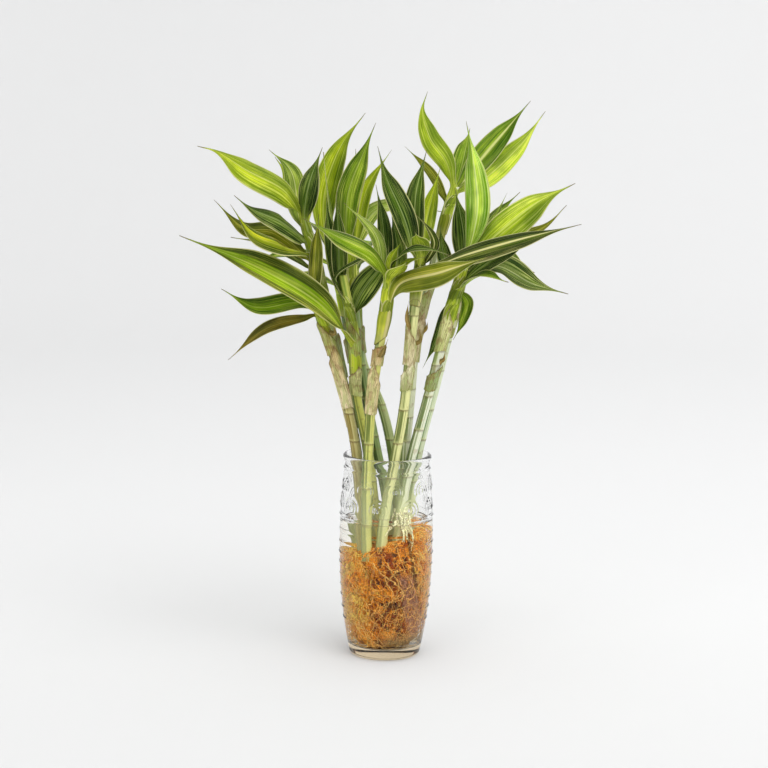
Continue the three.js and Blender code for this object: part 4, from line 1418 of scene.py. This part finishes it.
@cache
def leaf_material():
    """Variegated blade: outer and middle bands, fine pale lines, a pale midrib and margin, a dry tip; painted
    light and shade in soft folds, and on one half of the blade against the other.
    """
    shader = Shader("variegated_leaf")
    across, along, seed, rib, sleeve, lean, under, dry = (
        shader.named(name) for name in ("across", "along", "seed", "rib", "sleeve", "lean", "under", "dry")
    )
    line = shader.colour("line_tone")
    aside = across.size()

    def streaks(count, stretch, detail):
        return shader.cloud(1, detail, shader.point(across * count + seed, along * stretch, seed))

    broad, medium, fine, folds = (streaks(*kind) for kind in (BROAD, MEDIUM, FINE, FOLDS))
    bands = (aside + (broad - 0.5) * BAND_WANDER).risen(0.34, 0.62)
    vein = (across * VEIN_TURNS + broad * VEIN_WANDER).sine() * 0.5 + 0.5
    lined = rib * (-RIB_CALM * LINE_STRENGTH) + LINE_STRENGTH
    midrib = aside / (rib * RIB_REACH[1] + RIB_REACH[0])
    brown = along.risen(*TIP_RANGE).larger(dry * DRY_SHARE)
    colour = bands.blend(shader.colour("middle_tone"), shader.colour("outer_tone"))
    colour = colour.layered((YOUNG_TONE, along, (0.32, 0.06), 0.5))
    colour = colour.shaded(vein, VEIN_SHADES)
    colour = colour.layered((line, medium, (0.59, 0.64), lined), (line, fine, (0.54, 0.6), lined))
    colour = colour.shaded(shader.cloud(LEAF_PATCH_GRAIN, 2).risen(0.35, 0.6), PATCH_SHADES)
    # Painted shade and light in soft folds, then one half of the blade painted lit and the other painted
    # shaded.
    colour = colour.shaded(folds.risen(0.34, 0.58), PAINTED_FOLD_SHADING)
    colour = colour.shaded((across * lean).risen(-0.1, 0.1), PAINTED_HALF_LIGHT)
    colour = colour.layered(
        (line, midrib, (1, 0.4), rib * RIB_STRENGTH[1] + RIB_STRENGTH[0]),
        (MARGIN_TONE, aside + (medium - 0.5) * MARGIN_WANDER, (0.9, 0.965), 0.85),
    )
    colour = colour.shaded(under, UNDER_SHADES).layered(
        (FOOT_TONE, sleeve, (0.15, 1), 0.4),
        (FOOT_EDGE_TONE, sleeve, (0.94, 0.99), 0.7),
        (TIP_TONE, brown, None, 0.85),
    )
    shader.bumpy(vein + fine + folds, 0.9, 0.45)
    shader.mixed_with(added(shader.tree, "BsdfTranslucent", {"Color": colour.times(GLOW_TINT)}), GLOW_SHARE)
    return shader.finished(colour, Roughness=0.4, Specular_IOR_Level=0.13)


# Studio


def camera():
    data = bpy.data.cameras.new("camera")
    data.sensor_width = SENSOR_WIDTH
    data.lens = FOCAL_PIXELS / FRAME_PIXELS * SENSOR_WIDTH
    data.clip_end = CAMERA_REACH * MM
    made = placed("camera", data)
    made.location = Vector(CAMERA_PLACE) * MM
    made.rotation_euler = (Vector(CAMERA_AIM) * MM - made.location).to_track_quat("-Z", "Y").to_euler()
    made.rotation_euler.rotate_axis("Z", math.radians(CAMERA_ROLL))
    bpy.context.scene.camera = made


def floor_material():
    shader = Shader("pale_floor")
    x, y, _ = shader.axes()
    # Painted light and shade: darker at the front, lighter far back and to the right.
    pale = y.risen(*FLOOR_DEPTHS).blend(*FLOOR_PAINTED_DEPTH_LIGHT).shaded(x.risen(*FLOOR_WIDTHS), FLOOR_PAINTED_SIDE_LIGHT)
    return shader.finished(pale, Roughness=0.9, Specular_IOR_Level=0.1)


def floor():
    """A wide pale floor that sweeps up into a round wall, so that no horizon shows."""
    sweep = arc(STAGE_REACH - STAGE_SWEEP, STAGE_SWEEP, STAGE_SWEEP, -0.5, 0, ROUND_STEPS)
    profile = np.concatenate([[[0, 0], [STAGE_REACH / 2, 0]], sweep, [[STAGE_REACH, STAGE_WALL]]])
    shape = Shape()
    turned(shape, profile + (0, STAGE_DROP), STAGE_SIDES)
    mesh_object("floor", shape, floor_material())


def studio():
    """A pale world, two soft lamps, the floor and the camera."""
    world = bpy.data.worlds.new("studio")
    bpy.context.scene.world = world
    world.use_nodes = True
    background = world.node_tree.nodes["Background"]
    background.inputs["Color"].default_value = WORLD_COLOUR
    background.inputs["Strength"].default_value = WORLD_STRENGTH
    bpy.context.scene.view_settings.view_transform = "Standard"
    for name, (place, size, watts) in LAMPS.items():
        data = bpy.data.lights.new(name, "AREA")
        data.size = size
        data.energy = watts
        made = placed(name, data)
        made.location = place
        made.rotation_euler = (Vector(LAMP_AIM) - Vector(place)).to_track_quat("-Z", "Y").to_euler()
    floor()
    camera()


vase_piece()
water_piece()
root_pieces()
for cane_name in ROUTES:
    cane_stem(cane_name)
    cane_sheaths(cane_name)
    cane_leaves(cane_name)
studio()
